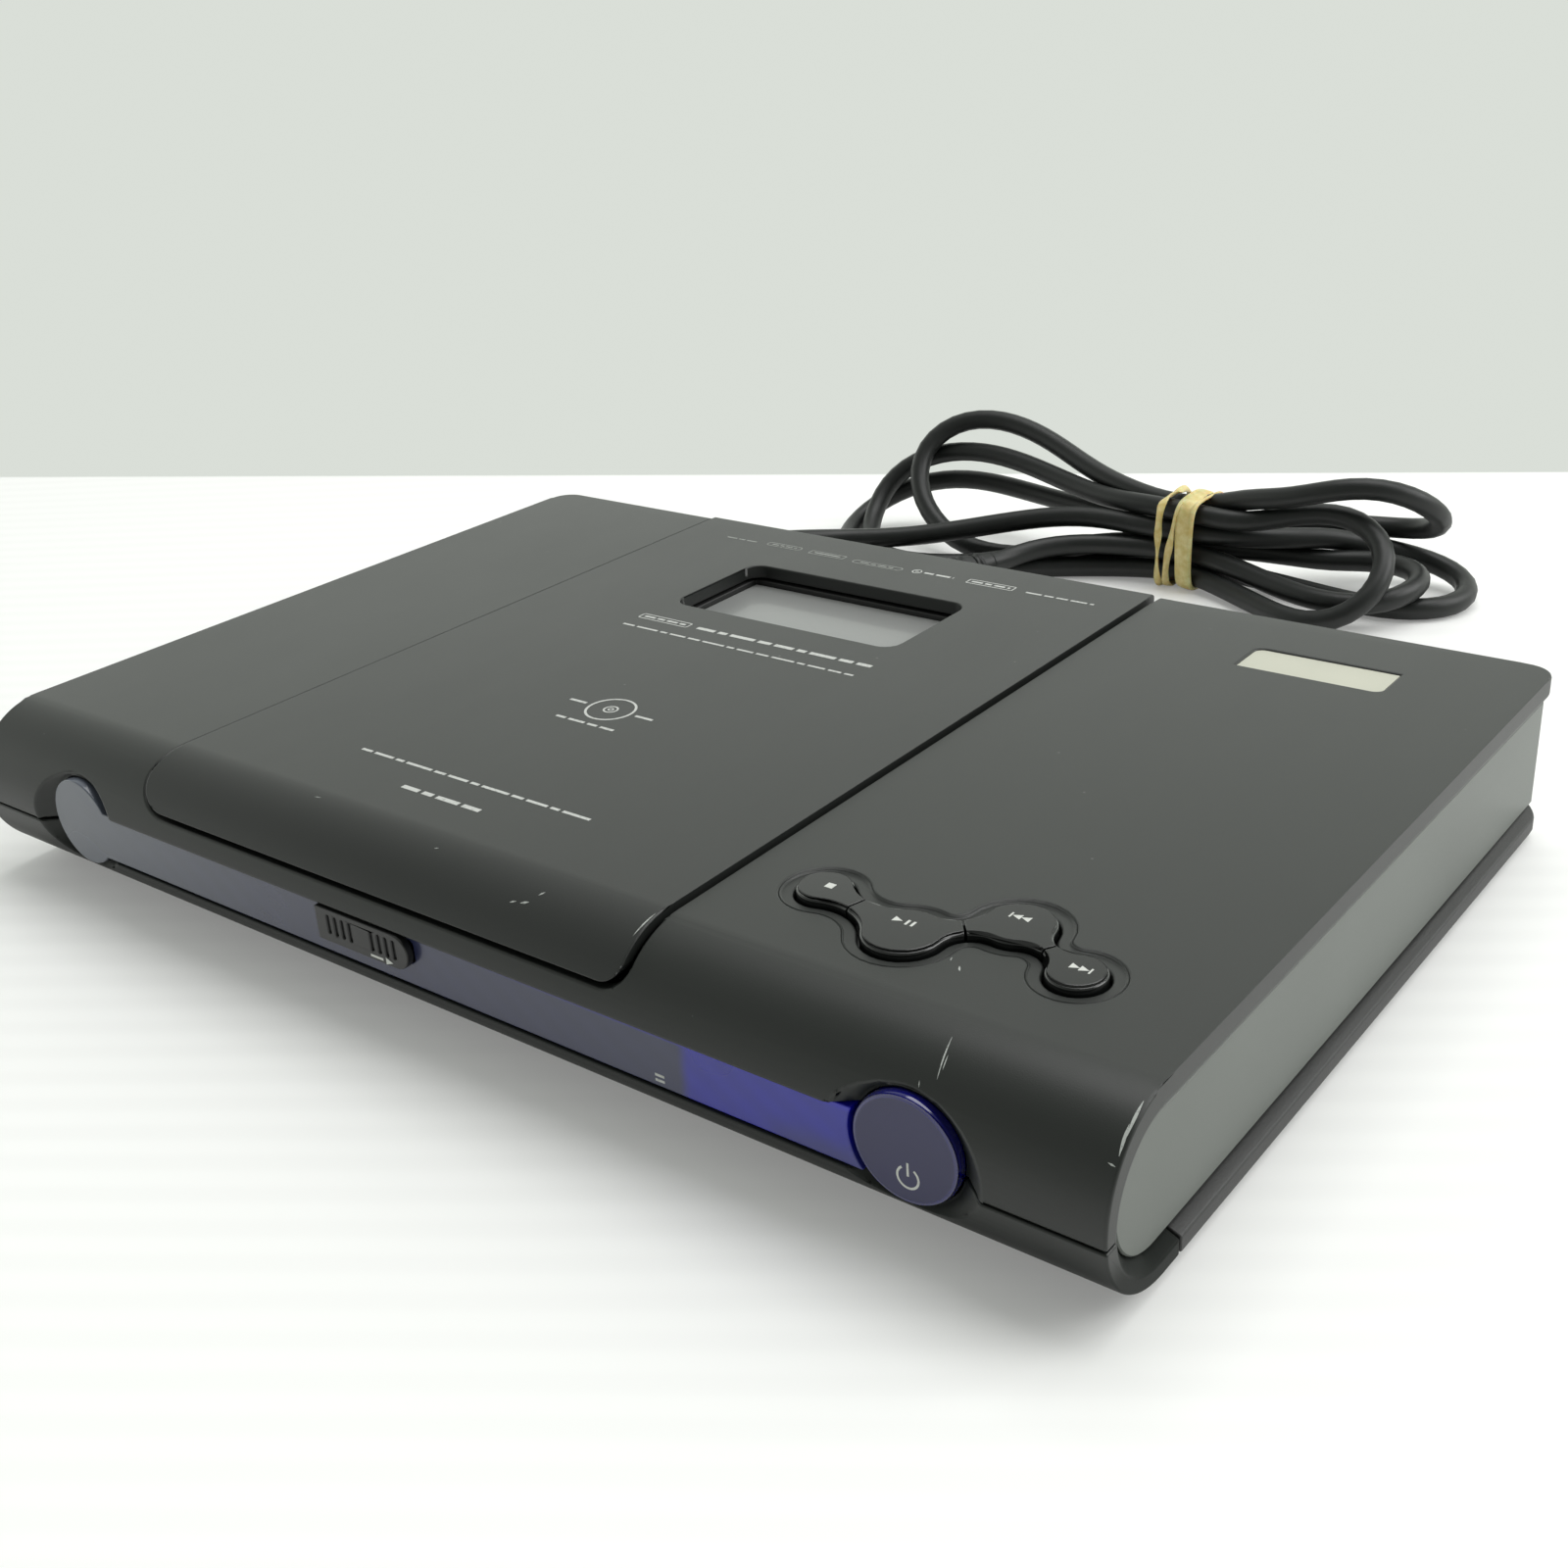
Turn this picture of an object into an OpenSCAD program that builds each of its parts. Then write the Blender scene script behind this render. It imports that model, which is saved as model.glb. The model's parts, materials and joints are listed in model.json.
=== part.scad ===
// Compact top-loading disc player: rounded housing, hinged disc lid, sled mechanism and mains lead.
// Millimetres. X to the right, Y to the rear, Z up; the origin is on the table under the middle of the housing.

/* [Housing] */
// Overall width of the housing
body_w = 280; // [272:1:320]
// Depth from the rounded front to the rear face
body_d = 190; // [189:0.5:215]
// Height of the housing above its feet
body_h = 35; // [34.5:0.5:42]
// Height of the rubber feet
foot_h = 2; // [1.5:0.5:4]
// Radius of the rubber feet
foot_r = 6.5; // [5:0.5:8]
// Wall thickness of the moulded shells
wall = 2.2; // [2:0.1:2.5]
// Radius of the upper half of the rounded front
nose_r = 17; // [16.5:0.25:18]
// Radius of the rear corners in plan
corner_r = 6; // [3:0.5:8]
// How far the front seam lies below the middle of the nose
seam_drop = 2; // [1:0.5:3]
// Width of the open joints between the shells
joint_gap = 0.4; // [0.2:0.1:0.8]
// Distance from the front to the slit at the end of the lower bezel
bezel_d = 23; // [20:1:30]

/* [Side walls] */
// How far the side walls stand in from the rim
side_inset = 3.2; // [2:0.2:4]
// Drop from the top to the upper edge of the flat side wall
side_drop = 8.5; // [7:0.5:10]
// Height of the flange under the side wall
flange_h = 4.5; // [4:0.5:6]
// Length of the full-width cheek in front of the side wall
cheek_d = 7.5; // [6:0.5:9]
// Height of the rim above the hollow of the side
rim_h = 4; // [3:0.5:5]

/* [Lid] */
// Width of the disc lid
lid_w = 132.2; // [130:0.2:136]
// Place of the lid's middle, left of the housing's middle
lid_shift = 17.4; // [10:0.2:24]
// Height of the lid's face above the housing
lid_proud = 0.7; // [0.4:0.1:1]
// Thickness of the lid
lid_t = 2.2; // [1.8:0.1:2.4]
// Drop from the top to the lower edge of the lid's front lip
lip_drop = 7.6; // [7:0.1:9]
// Radius of the left corner of the lid's front lip
lip_left_r = 9; // [6:0.5:11]
// Radius of the right corner of the lid's front lip
lip_right_r = 4; // [3:0.5:11]
// Open gap around the lid
lid_gap = 1.2; // [0.8:0.1:1.6]
// Radius of the hinge barrel
barrel_r = 2.8; // [2.5:0.1:3]
// Drop from the top to the hinge axis
hinge_drop = 9; // [8.5:0.25:9.5]
// Radius of the hinge pins
pin_r = 1.2; // [1:0.1:1.4]
// Length of a hinge pin
pin_l = 20; // [16:1:24]
// Width of a hinge bracket
ear_w = 8; // [6:0.5:10]
// Distance from the lid's side to the middle of its hinge bracket
ear_inset = 16; // [14:0.5:24]

/* [Display] */
// Width of the display window in the lid
window_w = 63.4; // [56:0.2:66]
// Depth of the display window, front to rear
window_d = 31.6; // [28:0.2:32]
// Distance from the rear face to the window
window_back = 26.9; // [26.5:0.1:28]
// Corner radius of the window
window_r = 4; // [2:0.5:6]
// Drop from the top to the face of the display
display_drop = 4.4; // [4:0.1:5]
// Thickness of the display glass
glass_t = 1.2; // [1:0.1:1.5]
// Height of the display module under the glass
module_t = 3.4; // [2.5:0.1:4]

/* [Disc well] */
// Radius of the well that takes the disc
well_r = 61.2; // [61:0.1:62]
// Distance from the front to the middle of the disc
disc_front = 67.4; // [67:0.1:69]
// Drop from the top to the floor of the well
well_drop = 9.5; // [9:0.25:10]
// Thickness of the deck's plates
deck_t = 1.6; // [1.4:0.1:2]
// Radius of the boss that centres the disc
hub_r = 7.4; // [7.35:0.01:7.45]
// Height of the boss above the disc seat
hub_h = 2.5; // [2:0.1:2.8]
// Radius of the turntable
platter_r = 16; // [14:0.5:17]
// Drop from the top to the disc seat
seat_drop = 7.2; // [7:0.1:7.4]

// Radius of the finger hollows at the well's edge
scoop_r = 9; // [7:0.5:11]

/* [Pickup] */
// Travel of the pickup sled
sled_travel = 32; // [28:1:33]
// Length of the sled along its rods
sled_l = 26; // [22:1:28]
// Distance from the disc's middle to the lens when parked
lens_start = 23; // [22:0.5:24]
// Distance between the two guide rods
rod_pitch = 34; // [32:1:38]
// Radius of the guide rods
rod_r = 1.5; // [1.2:0.1:1.8]
// Drop from the top to the rods' axes
rod_drop = 15.5; // [15:0.25:16]
// Running clearance of shafts in their bores, on the radius
running_gap = 0.05; // [0.03:0.01:0.08]
// Radius of the lead screw
screw_r = 1.5; // [1.2:0.1:1.8]
// Groove spacing of the lead screw
screw_lead = 3; // [2:0.5:4]
// Radius of the spindle motor
motor_r = 11.5; // [10:0.5:12]

/* [Front controls] */
// Distance from the housing's side to the middle of the front discs
dial_inset = 34.7; // [32:0.5:40]
// Radius of the power button and of the lens disc opposite
dial_r = 9.6; // [8.5:0.1:10]
// Radius of the hollow around them, at the nose's foremost line
dish_r = 14.6; // [13:0.2:16]
// How far the lens strip lies behind the nose's foremost line
strip_depth = 2; // [1.5:0.1:2.5]
// Height of the lens strip above the middle of the nose
strip_up = 4.2; // [3.5:0.1:5]
// Height of the lens strip below the middle of the nose
strip_down = 7; // [6:0.1:7.5]
// Gap around the power button and the keys
key_gap = 0.4; // [0.3:0.05:0.6]
// Travel of the power button
power_travel = 1.2; // [0.8:0.1:1.5]
// Length of the release slider
slider_l = 25.3; // [22:0.1:28]
// Place of the slider's middle, left of the housing's middle
slider_shift = 13.65; // [8:0.05:18]
// Height of the release slider
slider_h = 7; // [6:0.1:7.5]
// Travel of the release slider
slider_travel = 3; // [2:0.5:4]

/* [Keys] */
// Places of the stop, play, previous and next keys, as shares of the way from the lid to the right side
key_shares = [0.2, 0.414, 0.573, 0.737];
// Distances of the four keys from the front
key_fronts = [36, 30.4, 42.3, 34.2];
// Radii of the four keys
key_radii = [5, 7, 6.3, 5];
// Radii of the hollow necks between the keys
key_necks = [10, 5.5, 5.3];
// Height of the keys above the housing
key_proud = 1; // [0.6:0.1:1.4]
// Travel of the keys
key_travel = 0.8; // [0.5:0.1:0.9]
// Width of the sunk margin around the keys
key_margin = 2.8; // [2:0.1:3.2]
// Depth of the sunk margin
margin_t = 0.5; // [0.3:0.1:0.8]

/* [Name plate] */
// Width of the metal plate
plate_w = 31.2; // [26:0.2:34]
// Depth of the metal plate, front to rear
plate_d = 10.7; // [9:0.1:12]
// Distance from the right side to the plate
plate_side = 26.2; // [24:0.2:32]
// Distance from the rear face to the plate
plate_back = 18.3; // [16:0.1:22]
// Radius of its two rounded corners
plate_r = 2; // [1:0.5:5]
// Depth of the plate's face below the housing's top
plate_sink = 0.3; // [0:0.1:0.5]
// Thickness of the metal plate
plate_t = 0.8; // [0.6:0.1:1]

/* [Rear sockets] */
// Spacing of the round sockets
socket_pitch = 13; // [12.5:0.5:14]
// Outer radius of a socket's barrel
socket_r = 4.15; // [4.1:0.01:4.2]
// Length of a socket's barrel
socket_l = 8; // [7.5:0.1:8.2]
// Depth of the bay that the sockets stand in
bay_d = 8.5; // [8.3:0.1:10]
// Distance from the right side to the last socket
socket_side = 46; // [44:1:56]
// Drop from the top to the upper edge of the rear panel
rear_drop = 12.5; // [12.25:0.25:13]

/* [Mains lead] */
// Diameter of the lead
cord_d = 6; // [5:0.5:7]
// Length of the tapered strain relief
relief_l = 25; // [20:1:40]
// Distance from the left side to the lead's exit
exit_inset = 35; // [32:1:44]
// Height of the lead's exit above the table
exit_z = 15; // [14:0.5:17]

/* [Hidden] */

// Housing
half_w = body_w / 2;
rear_y = body_d / 2;
front_y = -rear_y;
base_z = foot_h;
top_z = base_z + body_h;
floor_z = base_z + wall;
nose_low_r = body_h - nose_r;
nose_z = top_z - nose_r;
nose_y = front_y + nose_r;
seam_z = nose_z - seam_drop;
slit_y = front_y + bezel_d;
panel_x = half_w - side_inset;
inner_x = panel_x - wall - 0.2;
rear_top_z = top_z - rear_drop;
flange_z = base_z + flange_h;
nose_steps = 20;
over = 1;

// Lid and deck
lid_x0 = -lid_shift - lid_w / 2;
lid_x1 = -lid_shift + lid_w / 2;
lid_top_z = top_z + lid_proud;
lid_nose_r = nose_r + lid_proud;
lip_z = top_z - lip_drop;
hinge_y = rear_y - barrel_r;
hinge_z = top_z - hinge_drop;
ear_at = [lid_x0 + ear_inset, lid_x1 - ear_inset];
disc_x = -lid_shift;
disc_y = front_y + disc_front;
well_z = top_z - well_drop;
lid_room = 3.2;
deck_rear_y = rear_y - 2 * barrel_r - 0.6;
deck_margin = 4;
window_x = -lid_shift + 0.4;
window_y1 = rear_y - window_back;
window_y0 = window_y1 - window_d;
glass_inset = 0.6;
glass_y0 = max(window_y0 + glass_inset, disc_y + well_r + 2.4);
glass_y1 = window_y1 - glass_inset;
glass_x0 = window_x - window_w / 2 + glass_inset;
glass_x1 = window_x + window_w / 2 - glass_inset;
glass_z = top_z - display_drop - glass_t;
collar_t = 1.3;

// Pickup mechanism
seat_z = top_z - seat_drop;
rod_z = top_z - rod_drop;
lens_x = disc_x + lens_start;
sled_x0 = lens_x - 7;
sled_t = 5;
frame_t = 1.2;
frame_z = top_z - 21.2;
holder_w = 4;
rod_x0 = sled_x0 - 0.3 - holder_w;
rod_x1 = sled_x0 + sled_l + sled_travel + 0.3 + holder_w;
screw_y = disc_y - rod_pitch / 2 - 7;
screw_x1 = rod_x1 - holder_w - 10;
lens_half = 5;
drive_r = 3.4;

// Front controls
dial_x = half_w - dial_inset;
dial_hole_r = dial_r + key_gap;
strip_y = front_y + strip_depth;
strip_top = nose_z + strip_up;
strip_low = nose_z - strip_down;
slider_x = -slider_shift;
slider_top = strip_top - 0.3;
slider_z = slider_top - slider_h / 2;
catch_x = slider_x;
catch_y0 = strip_y + 3.4;
catch_y1 = strip_y + 4.9;
catch_half = 4;
nose_x1 = catch_x + 9;
fit_gap = 0.3;
lens_t = 3.2;
lens_flange = 1.5;

// Rear sockets, counted from the right
socket_x0 = half_w - socket_side;
socket_z = (flange_z + rear_top_z) / 2;
bay_y = rear_y - bay_d;
sockets = [0, 1, 2, 3.4, 4.4, 5.4, 6.4];

// Mains lead: the stretch from the strain relief to the bundle, points chosen by hand
exit_x = -half_w + exit_inset;
cord_start = [exit_x, rear_y + relief_l, exit_z];
cord_route = [[0, 0, 0], [0, 6, 0], [-1, 14, -2], [-3, 24, -6], [-3, 34, -10],
  [1, 43, -11.8], [6, 50, -11.9], [10, 56, -11.9], [11, 60, -11.9], [11, 67, -11.9]];
band_x = 5;
bundle_y = rear_y + 107;
bundle_h = 36;
bundle_low = 24;
plug_at = [-43, rear_y + 75.5, 7.8];
plug_turn = 250;
plug_route = [[0, 0, 0], [2, 5.5, 0], [3.7, 10.4, -0.3], [4.9, 14.6, -0.8], [5.4, 18.5, -1.2], [5.4, 27, -1.2]];

charcoal = "#2b2d2f";
black = "#17181a";

// Arc of n steps around c, from angle a0 to a1, first point left out on request
function arc(c, r, a0, a1, n, skip = 0) =
  [for (i = [skip:n]) c + r * [cos(a0 + (a1 - a0) * i / n), sin(a0 + (a1 - a0) * i / n)]];

// Rectangle with rounded corners, as points
function rounded(x0, y0, x1, y1, r, n = 6) = concat(
  arc([x1 - r, y1 - r], r, 0, 90, n), arc([x0 + r, y1 - r], r, 90, 180, n),
  arc([x0 + r, y0 + r], r, 180, 270, n), arc([x1 - r, y0 + r], r, 270, 360, n));

// Side view of the housing, moved inwards by inset: flat top and base, rear face and rounded nose
function section(inset) = concat(
  [[rear_y - inset, base_z + inset], [rear_y - inset, top_z - inset]],
  arc([nose_y, nose_z], nose_r - inset, 90, 180, nose_steps),
  arc([front_y + nose_low_r, nose_z], nose_low_r - inset, 180, 270, nose_steps, 1));

// Outline of the hollow in a side: straight above and below, half round in front
function side_outline(drop, rise, setback, r = 0) =
  let (h = (body_h - drop - rise) / 2, z = base_z + rise + h, y = front_y + setback + h)
  concat([[rear_y + over, z - h], [rear_y + over, z + h]], arc([y, z], h, 90, 270, 24));

// Points of the rounded corner of the lip, as wide as x and as low as z, measured along the nose
function lip_corner(r, s_end, n = 10) = [for (i = [0:n])
  let (t = 90 * i / n, s = s_end - r + r * sin(t), a = s / nose_r * 180 / PI)
  [r * (1 - cos(t)), nose_z + nose_r * cos(a)]];

// Length along the nose from its top to the height z
function nose_run(z) = nose_r * PI / 180 * acos((z - nose_z) / nose_r);

module block(a, b) { translate(a) cube(b - a); }

module along_x(x0, x1, points) {
  translate([x0, 0, 0]) rotate([90, 0, 90]) linear_extrude(x1 - x0) polygon(points);
}

module along_y(y0, y1, points) {
  translate([0, y1, 0]) rotate([90, 0, 0]) linear_extrude(y1 - y0) polygon(points);
}

module up_from(z0, z1, points) {
  translate([0, 0, z0]) linear_extrude(z1 - z0) polygon(points);
}

module bar_x(x0, x1, y, z, r) {
  translate([x0, y, z]) rotate([0, 90, 0]) cylinder(r = r, h = x1 - x0, $fn = 48);
}

module bar_y(y0, y1, x, z, r1, r2) {
  translate([x, y0, z]) rotate([-90, 0, 0]) cylinder(r1 = r1, r2 = r2, h = y1 - y0, $fn = 64);
}

module disc_z(x, y, z0, z1, r) { translate([x, y, z0]) cylinder(r = r, h = z1 - z0, $fn = 64); }

module both_sides() {
  children();
  mirror([1, 0, 0]) children();
}

// ---- Shells ----

module plan_prism() {
  points = concat([[-half_w, front_y - over], [half_w, front_y - over]],
    arc([half_w - corner_r, rear_y - corner_r], corner_r, 0, 90, 10),
    arc([-half_w + corner_r, rear_y - corner_r], corner_r, 90, 180, 10));
  up_from(base_z - over, top_z + over, points);
}

module housing_shell(z0, z1) {
  intersection() {
    difference() {
      along_x(-half_w, half_w, section(0));
      along_x(-inner_x, inner_x, section(wall));
    }
    plan_prism();
    block([-half_w - over, front_y - over, z0], [half_w + over, rear_y + over, z1]);
  }
}

// Hollow of both sides, flaring out to the rim and to the flange
module side_hollows() {
  both_sides() hull() {
    along_x(panel_x, panel_x + 0.01, side_outline(side_drop, flange_h, cheek_d));
    along_x(half_w + 0.01, half_w + over, side_outline(rim_h, flange_h - 1.5, cheek_d - 4.5));
  }
}

// Solid backing around the two front discs
module dial_backing(z0, z1) {
  intersection() {
    both_sides() bar_y(front_y, front_y + 7.5, dial_x, nose_z, dish_r + 2.4, dish_r + 2.4);
    along_x(-half_w, half_w, section(0));
    block([-half_w, front_y - over, z0], [half_w, 0, z1]);
  }
}

// Window for the lens strip, round holes for the discs, and the hollow around each
module front_openings() {
  pocket_y = strip_y + lens_t - 0.1;
  block([-dial_x, front_y - over, strip_low], [dial_x, front_y + 9, strip_top]);
  block([-dial_x, pocket_y, strip_low - lens_flange - 0.2],
    [dial_x, front_y + 9, strip_top + lens_flange + 0.2]);
  bar_y(pocket_y, front_y + 9, -dial_x, nose_z, dial_r + lens_flange + 0.2, dial_r + lens_flange + 0.2);
  both_sides() {
    bar_y(front_y - over, front_y + 9, dial_x, nose_z, dial_hole_r, dial_hole_r);
    bar_y(front_y - over, front_y + 4, dial_x, nose_z, dish_r + 1.15 * over, dial_hole_r + 0.01);
  }
}

// Room for the lid, grown by gap; its front corners follow the nose
module lid_room(gap) {
  low = lip_z - gap;
  difference() {
    block([lid_x0 - gap, front_y - over, low], [lid_x1 + gap, rear_y + over, top_z + 2 * over]);
    lip_corner_cut(-1, lid_x0 - gap, lip_left_r + gap, low, corner_end(lip_left_r + gap, low));
    lip_corner_cut(1, lid_x1 + gap, lip_right_r + gap, low, corner_end(lip_right_r + gap, low));
  }
}

// Where the nose's surface stands at the upper end of a lip's corner
function corner_end(r, low) =
  nose_y - sqrt(pow(nose_r, 2) - pow(lip_corner(r, nose_run(low))[0][1] - nose_z, 2));

// What lies outside a lip's corner of radius r, on side s, from the front to y_end
module lip_corner_cut(s, edge, r, low, y_end) {
  curve = lip_corner(r, nose_run(low));
  along_y(front_y - 2 * over, y_end, concat([[edge + s * over, curve[0][1]]],
    [for (p = curve) [edge - s * p[0], p[1]]], [[edge - s * r, low - over], [edge + s * over, low - over]]));
}

post_r = 3.2;
post_x0 = lid_x0 - lid_gap - deck_margin - post_r - 0.8;
post_x1 = lid_x1 + lid_gap + deck_margin + post_r + 0.8;
function post_places() = concat(
  [for (x = [-half_w + 14, half_w - 14], y = [front_y + 55, rear_y - 15]) [x, y]],
  [for (x = [post_x0, post_x1], y = [slit_y + 4.5, rear_y - 83]) [x, y]]);
screw_shank_r = 1.4;

module top_cover() {
  color(charcoal) difference() {
    union() {
      housing_shell(seam_z, top_z);
      dial_backing(seam_z, top_z);
      intersection() {
        both_sides() along_x(inner_x, panel_x, side_outline(side_drop, flange_h, cheek_d + joint_gap));
        plan_prism();
        block([-half_w, front_y, base_z], [half_w, rear_y + over, seam_z]);
      }
      for (p = post_places()) disc_z(p[0], p[1], floor_z, top_z - wall, post_r);
    }
    side_hollows();
    lid_room(lid_gap);
    block([lid_x0 - lid_gap, deck_rear_y, seam_z - over], [lid_x1 + lid_gap, rear_y + over, top_z + over]);
    block([-inner_x, rear_y - wall - over, base_z], [inner_x, rear_y + over, rear_top_z]);
    front_openings();
    up_from(top_z - wall - over, top_z + over, key_outline(key_gap));
    up_from(top_z - margin_t, top_z + over, key_outline(key_margin));
    up_from(top_z - plate_sink - plate_t, top_z + over, plate_outline(0.1));
    for (p = post_places()) disc_z(p[0], p[1], floor_z - over, floor_z + 14, screw_shank_r + running_gap);
  }
}

module front_bezel() {
  color(charcoal) difference() {
    union() {
      housing_shell(base_z, seam_z - joint_gap);
      dial_backing(base_z, seam_z - joint_gap);
    }
    block([-half_w - over, slit_y, base_z - over], [half_w + over, rear_y + over, top_z]);
    side_hollows();
    both_sides() along_x(inner_x - joint_gap, half_w, side_outline(side_drop, flange_h, cheek_d));
    front_openings();
  }
}

vent_w = 2;
vent_l = 34;
vent_y = -28;
vent_x0 = half_w - 74;
module bottom_cover() {
  color(black) difference() {
    union() {
      difference() {
        housing_shell(base_z, flange_z);
        block([-half_w - over, front_y - over, base_z - over], [half_w + over, slit_y + joint_gap, top_z]);
        side_hollows();
      }
      for (p = board_posts()) disc_z(p[0], p[1], floor_z - 0.5, p[2], 2.5);
      for (p = mount_places()) disc_z(p[0], p[1], floor_z - 0.5, mount_z, 2);
    }
    for (i = [0:13]) {
      x = vent_x0 + 4 * i;
      both_sides() up_from(base_z - over, floor_z + over,
        rounded(x, vent_y, x + vent_w, vent_y + vent_l, vent_w / 2 - 0.01));
    }
    for (p = post_places()) {
      disc_z(p[0], p[1], base_z - over, floor_z + over, screw_shank_r + 0.2);
      disc_z(p[0], p[1], base_z - over, base_z + 1.2, 3.2);
    }
  }
}

relief_hole_r = 5;
module rear_panel() {
  z0 = flange_z;
  z1 = rear_top_z - 0.1;
  bay_x0 = socket_x0 - socket_pitch * sockets[6] - 9;
  bay_x1 = socket_x0 + 25;
  color(black) difference() {
    union() {
      block([-inner_x + 0.1, rear_y - wall, z0], [inner_x - 0.1, rear_y, z1]);
      block([bay_x0 - 1.6, bay_y - 1.6, z0], [bay_x1 + 1.6, rear_y, z1]);
    }
    block([bay_x0, bay_y, z0 + 1.4], [bay_x1, rear_y + over, z1 - 1.4]);
    for (k = sockets) bar_y(bay_y - 3, bay_y + over, socket_x0 - k * socket_pitch, socket_z, 3.2, 3.2);
    block([socket_x0 + 9, bay_y - 3, socket_z - 4], [socket_x0 + 18, bay_y + over, socket_z + 4]);
    bar_y(rear_y - wall - over, rear_y + over, exit_x, exit_z, relief_hole_r, relief_hole_r);
    for (i = [0:9]) {
      x = exit_x + 17 + 6 * i;
      along_y(rear_y - wall - over, rear_y + over, rounded(x, z0 + 4, x + 2.4, z1 - 4, 1.19));
    }
  }
}

module feet() {
  color("#202020") for (x = [-half_w + 26, half_w - 26], y = [front_y + 30, rear_y - 24])
    disc_z(x, y, 0, base_z, foot_r);
}

module case_screws() {
  color("silver") for (p = post_places()) {
    disc_z(p[0], p[1], base_z + 0.1, base_z + 1.2, 2.8);
    disc_z(p[0], p[1], base_z + 1.2, floor_z + 9, screw_shank_r);
  }
}

// ---- Front lens, name plate and release slider ----

module front_lens() {
  back = strip_y + lens_t;
  color("#3a3fb8", 0.9) difference() {
    union() {
      block([-dial_x, strip_y, strip_low + 0.15], [dial_x, back, strip_top - 0.15]);
      bar_y(strip_y, back, -dial_x, nose_z, dial_r, dial_r);
      block([-dial_x, back, strip_low - lens_flange], [dial_x, back + 1.5, strip_top + lens_flange]);
      bar_y(back, back + 1.5, -dial_x, nose_z, dial_r + lens_flange, dial_r + lens_flange);
    }
    bar_y(strip_y - over, back + 2 * over, dial_x, nose_z, dial_hole_r + 0.3, dial_hole_r + 0.3);
    slider_slot();
    block([catch_x - catch_half - 0.5, back - 0.01, slider_z],
      [nose_x1 + slider_travel + 0.5, back + 2, strip_top + 2]);
  }
}

// Slot in the lens strip for the slider's foot
module slider_slot() {
  x0 = slider_x - 5 - fit_gap;
  x1 = nose_x1 + slider_travel + fit_gap;
  along_y(strip_y - over, strip_y + 6, rounded(x0, slider_z - 2.3, x1, slider_z + 2.3, 1));
}

module release_slider() {
  x0 = slider_x - slider_l / 2;
  x1 = slider_x + slider_l / 2;
  face_y = strip_y - 1.8;
  z0 = slider_top - slider_h;
  color(black) difference() {
    union() {
      along_y(face_y, strip_y - 0.15, concat([[x0, slider_top], [x0, z0]],
        arc([x1 - slider_h / 2, slider_z], slider_h / 2, -90, 90, 12)));
      block([slider_x - 5, strip_y - 0.2, slider_z - 2], [nose_x1, catch_y1, slider_z + 2]);
      block([catch_x + catch_half + fit_gap, catch_y0, slider_z - 2], [nose_x1, catch_y1, lip_z - 3]);
    }
    for (i = [0:3], side = [-1, 1]) {
      x = slider_x + side * 6 + (i - 1.5) * 2;
      along_y(face_y - over, face_y + 0.7, rounded(x - 0.4, slider_z - 1.6, x + 0.4, slider_z + 2.3, 0.38));
    }
  }
}

function plate_outline(grow) =
  let (x1 = half_w - plate_side + grow, x0 = x1 - plate_w - 2 * grow,
    y1 = rear_y - plate_back + grow, y0 = y1 - plate_d - 2 * grow, r = plate_r + grow)
  concat([[x0, y0]], arc([x1 - r, y0 + r], r, 270, 360, 6), [[x1, y1]],
    arc([x0 + r, y1 - r], r, 90, 180, 6));

module name_plate() {
  color("#cfc8b4") up_from(top_z - plate_sink - plate_t, top_z - plate_sink, plate_outline(0));
}

// ---- Keys: one flowing outline, cut into four ----

key_rings = [for (i = [0:3])
  [lid_x1 + key_shares[i] * (half_w - lid_x1), front_y + key_fronts[i], key_radii[i]]];

function centre(i) = [key_rings[i][0], key_rings[i][1]];
function heading(v) = atan2(v[1], v[0]);
function onwards(a0, a1) = a1 < a0 ? a1 + 360 : a1;
function back_from(a0, a1) = a1 > a0 ? a1 - 360 : a1;

// Centre of the neck circle that touches ring i and ring i + 1, on the left (1) or right (-1)
function neck(i, side) =
  let (p = centre(i), q = centre(i + 1), d = norm(q - p), u = (q - p) / d,
    ra = key_rings[i][2] + key_necks[i], rb = key_rings[i + 1][2] + key_necks[i],
    along = (ra * ra - rb * rb + d * d) / (2 * d), off = sqrt(ra * ra - along * along))
  p + along * u + side * off * [-u[1], u[0]];

// Arc of ring i between two necks, and arc of a neck, both moved outwards by grow
function ring_arc(i, from, to, grow, n) =
  let (a0 = heading(from - centre(i)), a1 = onwards(a0, heading(to - centre(i))))
  arc(centre(i), key_rings[i][2] + grow, a0, a1, n);
function neck_arc(i, side, from, to, grow, n) =
  let (c = neck(i, side), a0 = heading(centre(from) - c), a1 = back_from(a0, heading(centre(to) - c)))
  [for (j = [1:n - 1]) c + (key_necks[i] - grow)
    * [cos(a0 + (a1 - a0) * j / n), sin(a0 + (a1 - a0) * j / n)]];

// Outline of all four keys, moved outwards by grow
function key_outline(grow) = concat(
  ring_arc(0, neck(0, 1), neck(0, -1), grow, 24), neck_arc(0, -1, 0, 1, grow, 12),
  ring_arc(1, neck(0, -1), neck(1, -1), grow, 12), neck_arc(1, -1, 1, 2, grow, 12),
  ring_arc(2, neck(1, -1), neck(2, -1), grow, 12), neck_arc(2, -1, 2, 3, grow, 12),
  ring_arc(3, neck(2, -1), neck(2, 1), grow, 24), neck_arc(2, 1, 3, 2, grow, 12),
  ring_arc(2, neck(2, 1), neck(1, 1), grow, 12), neck_arc(1, 1, 2, 1, grow, 12),
  ring_arc(1, neck(1, 1), neck(0, 1), grow, 12), neck_arc(0, 1, 1, 0, grow, 12));

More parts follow.
